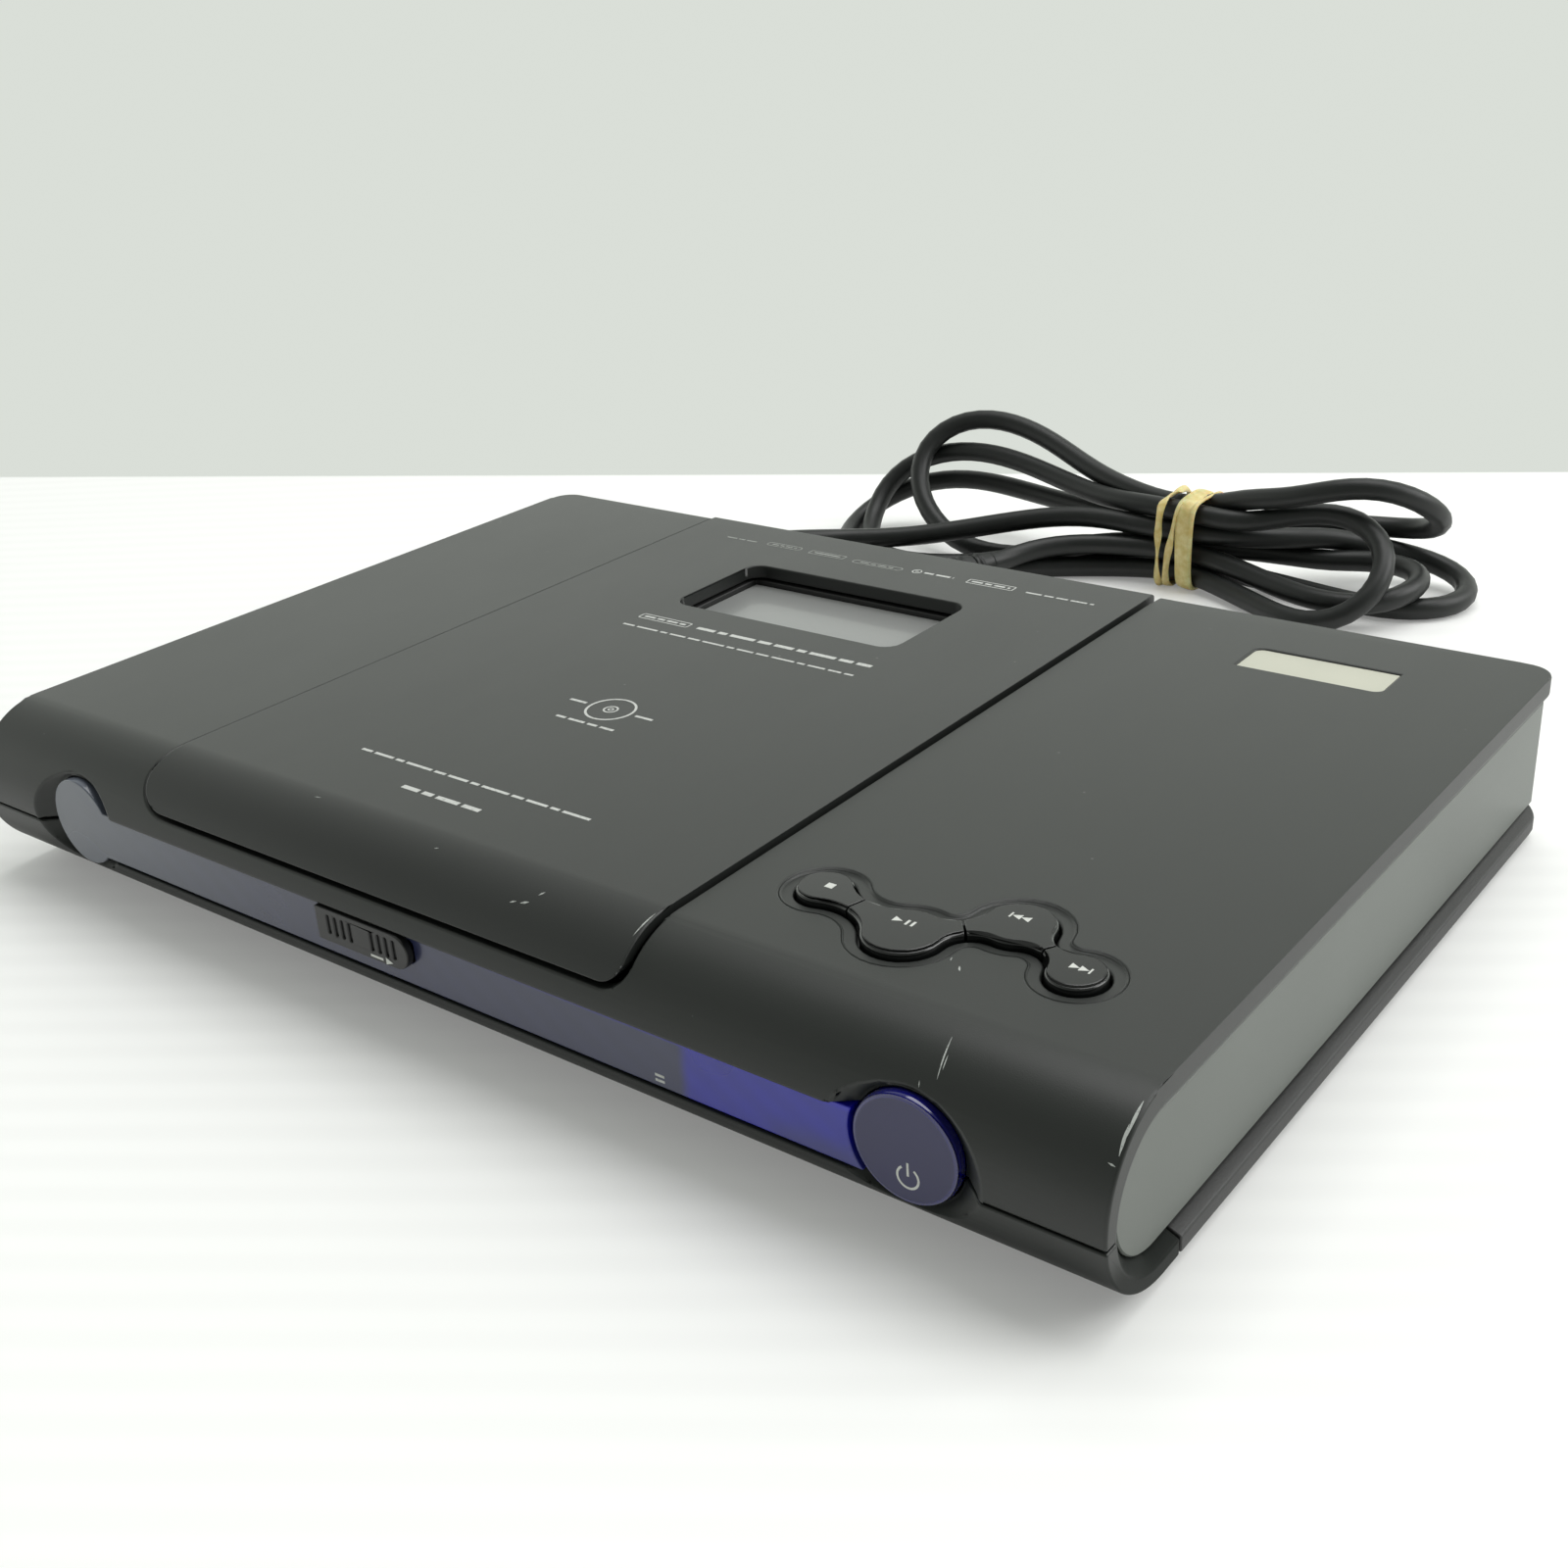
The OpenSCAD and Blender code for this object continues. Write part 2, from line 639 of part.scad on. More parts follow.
// Middle of the split between key i and key i + 1, at the narrowest place of the neck
function split(i) = (neck(i, 1) + neck(i, -1)) / 2;
function split_dir(i) = (neck(i, 1) - neck(i, -1)) / norm(neck(i, 1) - neck(i, -1));
split_gap = 0.4;

// Everything before (-1) or behind (1) the split between key i and key i + 1
module side_of_split(i, side) {
  translate([split(i)[0], split(i)[1], 0]) rotate([0, 0, heading(split_dir(i)) - 90])
    if (side > 0) block([split_gap / 2, -30, board_z], [90, 30, top_z + 2 * over]);
    else block([-90, -30, board_z], [-split_gap / 2, 30, top_z + 2 * over]);
}

key_skirt = 1;
board_z = top_z - 11.6;
switch_h = 3.4;
stem_r = 1.6;
module key(i) {
  under = top_z - wall;
  color(black) {
    intersection() {
      union() {
        up_from(under - fit_gap, top_z + key_proud - 0.4, key_outline(0));
        up_from(top_z + key_proud - 0.4, top_z + key_proud, key_outline(-0.5));
        up_from(under - fit_gap - key_skirt, under - fit_gap, key_outline(0.9));
      }
      if (i > 0) side_of_split(i - 1, 1);
      if (i < 3) side_of_split(i, -1);
    }
    disc_z(centre(i)[0], centre(i)[1], board_z + switch_h - 1, under - fit_gap - key_skirt + 0.01, stem_r);
  }
}

module stop_key() { key(0); }
module play_key() { key(1); }
module previous_key() { key(2); }
module next_key() { key(3); }

module key_board() {
  x0 = centre(0)[0] - key_radii[0];
  x1 = centre(3)[0] + 8;
  y0 = front_y + 21;
  y1 = front_y + 52;
  color("#2f6b3a") difference() {
    union() {
      block([x0, y0, board_z - 1.6], [x1, y1, board_z]);
      for (i = [0:3]) block([centre(i)[0] - 3, centre(i)[1] - 3, board_z - 0.01],
        [centre(i)[0] + 3, centre(i)[1] + 3, board_z + switch_h]);
      for (x = [x0 + 3, x1 - 3]) disc_z(x, y1 - 3, board_z - 0.01, top_z - wall, 2.2);
    }
    for (i = [0:3])
      disc_z(centre(i)[0], centre(i)[1], board_z + 0.5, board_z + switch_h + over, stem_r + 0.3);
    for (p = post_places()) disc_z(p[0], p[1], board_z - 2 * over, board_z + over, post_r + 0.5);
  }
}

power_stem_y = strip_y + 13;
module power_button() {
  rim = 0.5;
  color("#26287c") {
    bar_y(strip_y, strip_y + rim, dial_x, nose_z, dial_r - rim, dial_r);
    bar_y(strip_y + rim, strip_y + 6, dial_x, nose_z, dial_r, dial_r);
    bar_y(strip_y + 6, strip_y + 7, dial_x, nose_z, dial_r - 2, dial_r - 2);
    bar_y(strip_y + 7, power_stem_y, dial_x, nose_z, 2, 2);
  }
}

module front_board() {
  y0 = power_stem_y + 2.4;
  color("#2f6b3a") difference() {
    union() {
      block([dial_x - 24, y0, floor_z + 0.4], [dial_x + 20, y0 + 1.6, nose_z + 8]);
      block([dial_x - 5, power_stem_y - 1, nose_z - 5], [dial_x + 5, y0 + 0.01, nose_z + 5]);
    }
    bar_y(power_stem_y - 2, power_stem_y + power_travel + 0.4, dial_x, nose_z, 2.3, 2.3);
  }
}

// ---- Lid and hinge ----

// Side view of the lid: rear skirt, flat top and lip over the nose
function lid_section() =
  let (r = lid_nose_r, ri = lid_nose_r - lid_t, e = 1,
    a_out = 180 - asin((lip_z - nose_z) / r), a_in = 180 - asin((lip_z - nose_z) / ri))
  concat([[rear_y, hinge_z]], arc([rear_y - e, lid_top_z - e], e, 0, 90, 5),
    arc([nose_y, nose_z], r, 90, a_out, 16), arc([nose_y, nose_z], ri, a_in, 90, 16),
    [[rear_y - lid_t, lid_top_z - lid_t], [rear_y - lid_t, hinge_z]]);

// Keeps the lid's lip inside its rounded corners
module lip_trim() {
  lip_corner_cut(-1, lid_x0, lip_left_r, lip_z, nose_y);
  lip_corner_cut(1, lid_x1, lip_right_r, lip_z, nose_y);
}

module lid() {
  under_z = lid_top_z - lid_t;
  rib_z = top_z - lid_room + 0.6;
  catch_z = lip_z - 5;
  catch_top = nose_z + sqrt(pow(lid_nose_r - lid_t / 2, 2) - pow(nose_y - catch_y0, 2));
  w0 = window_x - window_w / 2;
  w1 = window_x + window_w / 2;
  color(charcoal) difference() {
    union() {
      along_x(lid_x0, lid_x1, lid_section());
      bar_x(lid_x0, lid_x1, hinge_y, hinge_z, barrel_r);
      up_from(rib_z, under_z + 0.2,
        rounded(w0 - 1.4, window_y0 - 1.2, w1 + 1.4, window_y1 + 1.4, window_r + 1.4));
      intersection() {
        difference() {
          disc_z(disc_x, disc_y, rib_z, under_z + 0.2, well_r - 1);
          disc_z(disc_x, disc_y, rib_z - over, under_z, well_r - 2.2);
        }
        block([lid_x0, nose_y, rib_z - over], [lid_x1, window_y0 - 1.2, top_z]);
      }
      for (x = [lid_x0 + 6, lid_x1 - 7.2])
        block([x, nose_y, rib_z], [x + 1.2, rear_y - 14, under_z + 0.2]);
      block([catch_x - catch_half, catch_y0, catch_z], [catch_x + catch_half, catch_y1, catch_top]);
    }
    lip_trim();
    up_from(rib_z - over, lid_top_z + over, rounded(w0, window_y0, w1, window_y1, window_r));
    for (x = ear_at) {
      block([x - ear_w / 2 - fit_gap, hinge_y - 2 * barrel_r, hinge_z - barrel_r - over],
        [x + ear_w / 2 + fit_gap, rear_y + over, hinge_z + barrel_r + 0.8]);
      bar_x(x - pin_l / 2, x + pin_l / 2, hinge_y, hinge_z, pin_r + 0.02);
    }
  }
}

module lid_hinge_pins() {
  color("silver") for (x = ear_at) bar_x(x - pin_l / 2, x + pin_l / 2, hinge_y, hinge_z, pin_r);
}

module hinge_brackets() {
  r = barrel_r - 0.2;
  color(black) for (x = ear_at) difference() {
    union() {
      bar_x(x - ear_w / 2, x + ear_w / 2, hinge_y, hinge_z, r);
      block([x - ear_w / 2, hinge_y - r, rear_top_z - 0.1], [x + ear_w / 2, hinge_y + r, hinge_z]);
    }
    bar_x(x - ear_w, x + ear_w, hinge_y, hinge_z, pin_r + running_gap);
  }
}

// ---- Deck under the lid, and display ----

// Two hollows at the well's edge, where fingers lift the disc
scoop_z = well_z + 2.6;
function scoop_places() = [for (a = [45, 225]) [disc_x + well_r * cos(a), disc_y + well_r * sin(a)]];

module disc_deck() {
  x0 = lid_x0 - lid_gap - deck_margin;
  x1 = lid_x1 + lid_gap + deck_margin;
  slot_x0 = lens_x - lens_half - 0.6;
  slot_x1 = lens_x + lens_half + sled_travel + 0.6;
  color(black) difference() {
    intersection() {
      union() {
        block([x0, front_y, top_z - wall - deck_t - 1], [x1, deck_rear_y, top_z - wall]);
        disc_z(disc_x, disc_y, well_z - deck_t, top_z - wall, well_r + 1.4);
        for (p = scoop_places()) disc_z(p[0], p[1], scoop_z - deck_t, top_z - wall, scoop_r + 1.4);
        block([glass_x0 - collar_t, glass_y0 - collar_t, glass_z],
          [glass_x1 + collar_t, glass_y1 + collar_t, top_z - wall]);
      }
      along_x(x0, x1, section(wall + running_gap));
    }
    difference() {
      block([lid_x0 - lid_gap, front_y, well_z], [lid_x1 + lid_gap, rear_y, top_z]);
      along_x(x0, x1, section(lid_room));
    }
    disc_z(disc_x, disc_y, well_z, top_z, well_r);
    disc_z(disc_x, disc_y, well_z - 2 * over - deck_t, top_z, platter_r + 1);
    block([slot_x0, disc_y - 10, well_z - 2 * over - deck_t], [slot_x1, disc_y + 10, well_z + over]);
    block([glass_x0 - 0.1, glass_y0 - 0.1, glass_z - over], [glass_x1 + 0.1, glass_y1 + 0.1, top_z]);
    block([catch_x - catch_half - 1, front_y, base_z], [nose_x1 + slider_travel + 1, catch_y1 + 0.7, top_z]);
    for (p = scoop_places()) disc_z(p[0], p[1], scoop_z, top_z, scoop_r);
  }
}

module display_glass() {
  color("#8f9499") block([glass_x0, glass_y0, glass_z], [glass_x1, glass_y1, glass_z + glass_t]);
}

module display_module() {
  color("#3a3d40") block([glass_x0 - 0.8, glass_y0 - 0.8, glass_z - module_t],
    [glass_x1 + collar_t, glass_y1 + collar_t, glass_z]);
}

// ---- Mechanism ----

module turntable() {
  color("#1d1e20") {
    rotate_about_disc([[0, seat_z - 2.2], [platter_r, seat_z - 2.2], [platter_r, seat_z - 0.6],
      [platter_r - 1, seat_z], [hub_r + 1.6, seat_z], [hub_r + 1.6, seat_z - 0.5], [hub_r, seat_z - 0.5],
      [hub_r, seat_z + hub_h - 0.7], [hub_r - 0.9, seat_z + hub_h], [3, seat_z + hub_h],
      [2.4, seat_z + hub_h - 0.6], [0, seat_z + hub_h - 0.6]]);
    disc_z(disc_x, disc_y, frame_z + 2, seat_z - 2.1, 1);
  }
}

module rotate_about_disc(points) {
  translate([disc_x, disc_y, 0]) rotate_extrude($fn = 72) polygon(points);
}

module spindle_motor() {
  color("silver") difference() {
    union() {
      disc_z(disc_x, disc_y, frame_z, frame_z + 6.5, motor_r);
      disc_z(disc_x, disc_y, frame_z + 6.5, frame_z + 8, 4);
    }
    disc_z(disc_x, disc_y, frame_z + 1, frame_z + 9, 1 + running_gap);
  }
}

mount_z = frame_z - frame_t - 1.6;
mount_y = rod_pitch / 2 + 7;
function mount_places() =
  [for (x = [disc_x - motor_r - 6.5, rod_x1 - 8.3], y = [disc_y - mount_y, disc_y + mount_y]) [x, y]];

module traverse_frame() {
  color("#6d7073") difference() {
    union() {
      up_from(frame_z - frame_t, frame_z,
        rounded(disc_x - motor_r - 12.5, disc_y - mount_y - 7, rod_x1 + 0.5, disc_y + mount_y + 6, 5));
      for (y = [disc_y - rod_pitch / 2, disc_y + rod_pitch / 2], x = [rod_x0, rod_x1 - holder_w])
        block([x, y - 3, frame_z - 0.01], [x + holder_w, y + 3, rod_z + 2.6]);
      block([screw_x1, screw_y - drive_r, frame_z - 0.01], [screw_x1 + 1.2, screw_y + drive_r, rod_z + drive_r]);
      block([rod_x0, screw_y - 2.6, frame_z - 0.01], [rod_x0 + holder_w, screw_y + 2.6, rod_z + 2.6]);
    }
    for (y = [disc_y - rod_pitch / 2, disc_y + rod_pitch / 2])
      bar_x(rod_x0 - over, rod_x1 + over, y, rod_z, rod_r + 0.02);
    bar_x(rod_x0 + 1, screw_x1 + 2, screw_y, rod_z, screw_r + running_gap);
    up_from(frame_z - 2 * over, frame_z + over, rounded(sled_x0 + 6, disc_y - 12, rod_x1 - 8, disc_y + 12, 3));
    for (p = mount_places()) disc_z(p[0], p[1], frame_z - 2 * over, frame_z + over, 3.05);
  }
}

module isolation_mounts() {
  color("#333436") for (p = mount_places()) {
    disc_z(p[0], p[1], mount_z, frame_z - frame_t, 4.4);
    disc_z(p[0], p[1], frame_z - frame_t, frame_z, 3);
    disc_z(p[0], p[1], frame_z, frame_z + 1.4, 4.4);
  }
}

module guide_rods() {
  color("silver") for (y = [disc_y - rod_pitch / 2, disc_y + rod_pitch / 2])
    bar_x(rod_x0, rod_x1, y, rod_z, rod_r);
}

module laser_sled() {
  y0 = disc_y - rod_pitch / 2 - 3.2;
  y1 = disc_y + rod_pitch / 2 + 3.2;
  color("#3c3f42") difference() {
    union() {
      block([sled_x0, y0, rod_z - sled_t / 2], [sled_x0 + sled_l, y1, rod_z + sled_t / 2]);
      block([lens_x - lens_half, disc_y - 8, rod_z], [lens_x + lens_half, disc_y + 8, well_z - 0.4]);
      block([sled_x0 + 8, screw_y - 2.6, rod_z - sled_t / 2], [sled_x0 + 15, y0 + 1, rod_z - screw_r - 0.3]);
      block([sled_x0 + 8, screw_y - 2.6, rod_z - sled_t / 2], [sled_x0 + 15, screw_y - screw_r - 0.3, rod_z + 1]);
    }
    for (y = [disc_y - rod_pitch / 2, disc_y + rod_pitch / 2])
      bar_x(sled_x0 - over, sled_x0 + sled_l + over, y, rod_z, rod_r + running_gap);
    disc_z(lens_x, disc_y, well_z - 1.6, well_z + over, 3.05);
  }
}

module laser_lens() {
  color("#9ab7d8") translate([lens_x, disc_y, 0]) rotate_extrude($fn = 48)
    polygon(concat([[0, well_z - 1.6]], [[3, well_z - 1.6]], [[3, well_z - 0.5]],
      [for (i = [1:6]) [3 - 3 * i / 6, well_z - 0.5 + 0.7 * sin(90 * i / 6)]]));
}

module lead_screw() {
  x0 = rod_x0 + 1 + fit_gap;
  steps = floor((screw_x1 - x0 - 8) / screw_lead);
  groove = 0.4;
  color("silver") translate([x0, screw_y, rod_z]) rotate([0, 90, 0]) rotate_extrude($fn = 48)
    polygon(concat([[0, 0], [screw_r, 0]],
      [for (i = [0:steps - 1], p = [[screw_r, 3.6], [screw_r - groove, 4.1], [screw_r - groove, 4.7], [screw_r, 5.2]])
        [p[0], p[1] + i * screw_lead]],
      [[screw_r, screw_x1 + 0.9 - x0], [1, screw_x1 + 0.9 - x0], [1, screw_x1 + 4 - x0], [0, screw_x1 + 4 - x0]]));
}

module sled_motor() {
  color("silver") difference() {
    bar_x(screw_x1 + 1.2, screw_x1 + 12, screw_y, rod_z, drive_r);
    bar_x(screw_x1, screw_x1 + 6, screw_y, rod_z, 1 + running_gap);
  }
}

// ---- Boards ----

main_z = base_z + 9;
power_z = base_z + 8;
board_t = 1.6;
main_x0 = post_x1 + post_r + 0.5;
main_x1 = half_w - 18;
power_x1 = post_x0 - post_r - 0.5;
power_x0 = -inner_x + 8;
main_w = main_x1 - main_x0;
power_w = power_x1 - power_x0;
board_y0 = front_y + 59;
function board_posts() = concat(
  [for (x = [main_x0 + 4, main_x1 - 4], y = [board_y0 + 4, rear_y - 24]) [x, y, main_z]],
  [for (x = [power_x0 + 4, power_x1 - 4], y = [board_y0 + 4, rear_y - 31]) [x, y, power_z]]);

module main_board() {
  color("#2f6b3a") block([main_x0, board_y0, main_z], [main_x1, rear_y - 20, main_z + board_t]);
}

module board_parts() {
  color("#222326") translate([main_x0, 0, main_z + board_t]) {
    block([main_w * 0.28, -5, 0], [main_w * 0.68, 19, 2.4]);
    block([main_w * 0.15, 30, 0], [main_w * 0.31, 46, 1.2]);
    block([main_w * 0.38, 30, 0], [main_w * 0.54, 46, 1.2]);
    for (i = [0:3]) disc_z(main_w * 0.81, -24 + 12 * i, 0, 9, 4);
    for (i = [0:2]) block([main_w * (0.115 + 0.165 * i), -26, 0], [main_w * (0.23 + 0.165 * i), -18, 1.4]);
  }
}

module heat_sink() {
  sink_w = main_w * 0.23;
  color("silver") translate([main_x0 + main_w * 0.66, 34, main_z + board_t]) {
    cube([sink_w, 20, 1.5]);
    for (i = [0:4]) translate([i * (sink_w - 1.2) / 4, 0, 1.49]) cube([1.2, 20, 7]);
  }
}

module power_board() {
  color("#b9935a") block([power_x0, board_y0, power_z], [power_x1, rear_y - 27, power_z + board_t]);
}

coil_w = 14;
module transformer() {
  color("#d8c04a") translate([(power_x0 + power_x1 - coil_w) / 2, 2, power_z + board_t]) {
    block([0, 0, 0], [coil_w, 24, 3]);
    block([2, 2, 2.99], [coil_w - 2, 22, 13]);
    block([0, 0, 12.99], [coil_w, 24, 16]);
  }
}

module power_parts() {
  color("#30343a") translate([power_x0, 0, power_z + board_t]) {
    disc_z(power_w / 2 - 2, -14, 0, 15, 7);
    for (i = [0:2]) disc_z(6 + (power_w / 2 - 6) * i, 34, 0, 12, 3.6);
    block([5, 44, 0], [power_w - 5, 56, 10]);
    block([power_w - 5, -26, 0], [power_w - 3, -6, 12]);
  }
}

// ---- Rear sockets ----

module socket_barrels() {
  color("silver") for (k = sockets) translate([socket_x0 - k * socket_pitch, bay_y, socket_z])
    rotate([-90, 0, 0]) difference() {
      cylinder(r = socket_r, h = socket_l, $fn = 64);
      translate([0, 0, -over]) cylinder(r = socket_r - 0.5, h = socket_l + 2 * over, $fn = 64);
    }
}

// Insulating insert, with the contact hole and the coloured end
module socket_insert(k) {
  translate([socket_x0 - k * socket_pitch, bay_y - 3, socket_z]) rotate([-90, 0, 0]) difference() {
    union() {
      cylinder(r = 3.1, h = 3.5, $fn = 48);
      translate([0, 0, 3]) cylinder(r = socket_r - 0.55, h = socket_l - 1.2, $fn = 48);
    }
    translate([0, 0, 3]) cylinder(r = 1.65, h = socket_l, $fn = 48);
  }
}

module socket_yellow() { color("gold") socket_insert(sockets[0]); }
module socket_white() { color("white") socket_insert(sockets[1]); }
module socket_red() {
  color("red") {
    socket_insert(sockets[2]);
    socket_insert(sockets[6]);
  }
}
module socket_black() { color("#222222") socket_insert(sockets[3]); }
module socket_green() { color("green") socket_insert(sockets[4]); }
module socket_blue() { color("blue") socket_insert(sockets[5]); }

module s_video_socket() {
  x = socket_x0 + 13.5;
  color("#1b1b1b") difference() {
    union() {
      block([x - 4.4, bay_y - 3, socket_z - 3.9], [x + 4.4, bay_y + 0.01, socket_z + 3.9]);
      bar_y(bay_y, bay_y + 4, x, socket_z, 5.4, 5.4);
    }
    bar_y(bay_y + 0.5, bay_y + 5, x, socket_z, 4.4, 4.4);
  }
}

// ---- Mains lead ----

module strain_relief() {
  rings = 5;
  step = (relief_l - 5) / rings;
  color("#151515") translate([exit_x, rear_y - wall - 1.5, exit_z]) rotate([-90, 0, 0]) rotate_extrude($fn = 48)
    polygon(concat([[0, 0], [relief_hole_r + 1.5, 0], [relief_hole_r + 1.5, 1.4], [relief_hole_r - 0.1, 1.4],
        [relief_hole_r - 0.1, wall + 1.6], [relief_hole_r + 1, wall + 1.6], [relief_hole_r + 1, wall + 3]],
      [for (i = [0:rings - 1], p = [[5.2, 4], [5.2, 6], [4.4, 6], [4.4, 8]])
        [p[0] - 0.22 * i, wall + 0.6 + p[1] * step / 4 + i * step - step + 3]],
      [[cord_d / 2 + 0.5, relief_l + wall + 1.5], [0, relief_l + wall + 1.5]]));
}

function unit(v) = v / norm(v);

// Ring of sides points around p, square to the direction t
function cord_ring(p, t, sides) =
  let (u = unit(cross(t, [0, 0, 1])), w = cross(u, t))
  [for (i = [0:sides - 1]) p + cord_d / 2 * (cos(360 * i / sides) * u + sin(360 * i / sides) * w)];

// Tube through the points of path, its first and last rings square to the given directions
module cord_tube(path, first) {
  sides = 8;
  n = len(path);
  points = [for (i = [0:n - 1]) each cord_ring(path[i],
    i == 0 ? first : i == n - 1 ? [0, 1, 0] : unit(path[i + 1] - path[i - 1]), sides)];
  caps = [[for (i = [0:sides - 1]) sides - 1 - i], [for (i = [0:sides - 1]) (n - 1) * sides + i]];
  quads = [for (i = [0:n - 2], j = [0:sides - 1])
    [i * sides + j, i * sides + (j + 1) % sides, (i + 1) * sides + (j + 1) % sides, (i + 1) * sides + j]];
  polyhedron(points, concat(caps, quads));
}

module mains_cord() {
  color("#151515") cord_tube([for (p = cord_route) cord_start + p], [0, 1, 0]);
}

module plug_cord() {
  color("#151515") cord_tube([for (p = plug_route) plug_at + p], [-cos(plug_turn), -sin(plug_turn), 0]);
}

// Bow-shaped outline of the bundled turns, drawn in at the band
function bundle_outline() = [for (i = [0:59])
  let (t = 6 * i, c = cos(t), reach = c > 0 ? 71 : 123)
  [band_x + reach * c, bundle_y + 54 * sin(t) * (0.15 + 0.85 * c * c)]];

// Blind hole that takes the end of a tail
module cord_pocket(end) {
  bar_y(end[1] - 30, end[1] + 0.05, end[0], end[2], cord_d / 2 + 1.3, cord_d / 2 + 1.3);
}

band_w = 8;
band_half = 10;
module cord_bundle() {
  saddle_r = 70;
  color("#151515") union() {
    difference() {
      up_from(0, bundle_h, bundle_outline());
      bar_y(bundle_y - 40, bundle_y + 40, band_x, bundle_low + saddle_r, saddle_r, saddle_r);
      block([band_x - band_w / 2 - fit_gap, bundle_y - 30, -over],
        [band_x + band_w / 2 + fit_gap, bundle_y + 30, bundle_h + over]);
      cord_pocket(cord_start + cord_route[len(cord_route) - 1]);
      cord_pocket(plug_at + plug_route[len(plug_route) - 1]);
    }
    block([band_x - band_w, bundle_y - band_half + 2.5, 1.6],
      [band_x + band_w, bundle_y + band_half - 2.5, bundle_low - 2]);
  }
}

module rubber_band() {
  color("#d9b65e") along_x_ring(band_x - band_w / 2, band_x + band_w / 2);
}

module along_x_ring(x0, x1) {
  difference() {
    along_x(x0, x1, rounded(bundle_y - band_half, 0, bundle_y + band_half, bundle_low, 4));
    along_x(x0 - over, x1 + over,
      rounded(bundle_y - band_half + 0.9, 0.9, bundle_y + band_half - 0.9, bundle_low - 0.9, 3.1));
  }
}

plug_l = 54;
grip_l = 26;
blade_l = 16;
blade_w = 6.4;
blade_t = 1.5;
blade_pitch = 12.7;
module plug_body() {
  color("#151515") translate(plug_at) rotate([0, 0, plug_turn]) {
    rotate([0, 90, 0]) rotate_extrude($fn = 32)
      polygon([[0, 0], [3.5, 0], [3.7, 5], [3.3, 5.2], [3.3, 7], [4.2, 7.2], [4.2, 11], [3.8, 11.2], [3.8, 13],
        [4.8, 13.2], [4.8, 17], [5.5, grip_l + 0.5], [0, grip_l + 0.5]]);
    translate([grip_l, 0, 0]) rotate([90, 0, 90]) linear_extrude(plug_l - grip_l)
      polygon(rounded(-12.2, -plug_at[2], 12.2, plug_at[2], 5));
  }
}

module plug_blades() {
  color("silver") translate(plug_at) rotate([0, 0, plug_turn])
    for (s = [-1, 1]) translate([plug_l, (s * blade_pitch - blade_t) / 2, -blade_w / 2])
      cube([blade_l, blade_t, blade_w]);
}

top_cover();
front_bezel();
bottom_cover();
rear_panel();
front_lens();
name_plate();
disc_deck();
display_glass();
display_module();
lid();
lid_hinge_pins();
hinge_brackets();
power_button();
stop_key();
play_key();
previous_key();
next_key();
release_slider();
turntable();
spindle_motor();
traverse_frame();
guide_rods();
isolation_mounts();
laser_sled();
laser_lens();
lead_screw();
sled_motor();
main_board();
board_parts();
heat_sink();
power_board();
transformer();
power_parts();
key_board();
front_board();
socket_barrels();
socket_yellow();
socket_white();
socket_red();
socket_green();
socket_blue();
socket_black();
s_video_socket();
feet();
case_screws();
strain_relief();
mains_cord();
cord_bundle();
rubber_band();
plug_cord();
plug_body();
plug_blades();
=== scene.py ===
import json
import math
import bmesh
import bpy
import numpy as np
from mathutils import Matrix, Vector

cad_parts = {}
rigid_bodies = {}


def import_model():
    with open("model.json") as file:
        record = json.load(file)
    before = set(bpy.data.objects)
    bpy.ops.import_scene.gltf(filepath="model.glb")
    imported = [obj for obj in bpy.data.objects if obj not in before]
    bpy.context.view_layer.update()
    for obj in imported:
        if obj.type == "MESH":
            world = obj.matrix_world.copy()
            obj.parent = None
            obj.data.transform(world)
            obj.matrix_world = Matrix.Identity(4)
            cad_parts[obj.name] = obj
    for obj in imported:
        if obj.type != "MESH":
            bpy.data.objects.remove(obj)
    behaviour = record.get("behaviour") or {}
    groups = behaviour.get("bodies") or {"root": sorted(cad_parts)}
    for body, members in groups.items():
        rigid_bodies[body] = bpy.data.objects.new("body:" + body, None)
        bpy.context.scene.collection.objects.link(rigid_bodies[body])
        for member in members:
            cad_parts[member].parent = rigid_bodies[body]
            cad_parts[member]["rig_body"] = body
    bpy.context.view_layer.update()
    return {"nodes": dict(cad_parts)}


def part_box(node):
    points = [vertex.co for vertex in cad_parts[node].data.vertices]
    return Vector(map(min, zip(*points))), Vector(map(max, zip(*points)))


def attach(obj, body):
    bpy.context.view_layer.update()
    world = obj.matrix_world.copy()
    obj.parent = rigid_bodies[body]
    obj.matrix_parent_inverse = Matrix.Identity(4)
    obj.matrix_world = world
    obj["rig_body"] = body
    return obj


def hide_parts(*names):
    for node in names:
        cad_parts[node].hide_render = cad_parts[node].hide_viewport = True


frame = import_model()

scene = bpy.context.scene
scene.view_settings.view_transform = "Standard"

shot = {
    "place": (0.2353, -0.2751, 0.1867),  # metres
    "azimuth": 39.13,
    "elevation": 25.32,
    "roll": 3.74,
    "lens": 42.5,
    "sensor": 36.0,
}


def cameraAxes(azimuth, elevation, roll):
    # forward from the two angles, then right and down turned about it by roll
    a, e, r = (math.radians(v) for v in (azimuth, elevation, roll))
    forward = -np.array([math.sin(a) * math.cos(e), -math.cos(a) * math.cos(e), math.sin(e)])
    right = np.cross(forward, [0, 0, 1])
    right = right / np.linalg.norm(right)
    down = np.cross(forward, right)
    return math.cos(r) * right + math.sin(r) * down, math.cos(r) * down - math.sin(r) * right, forward


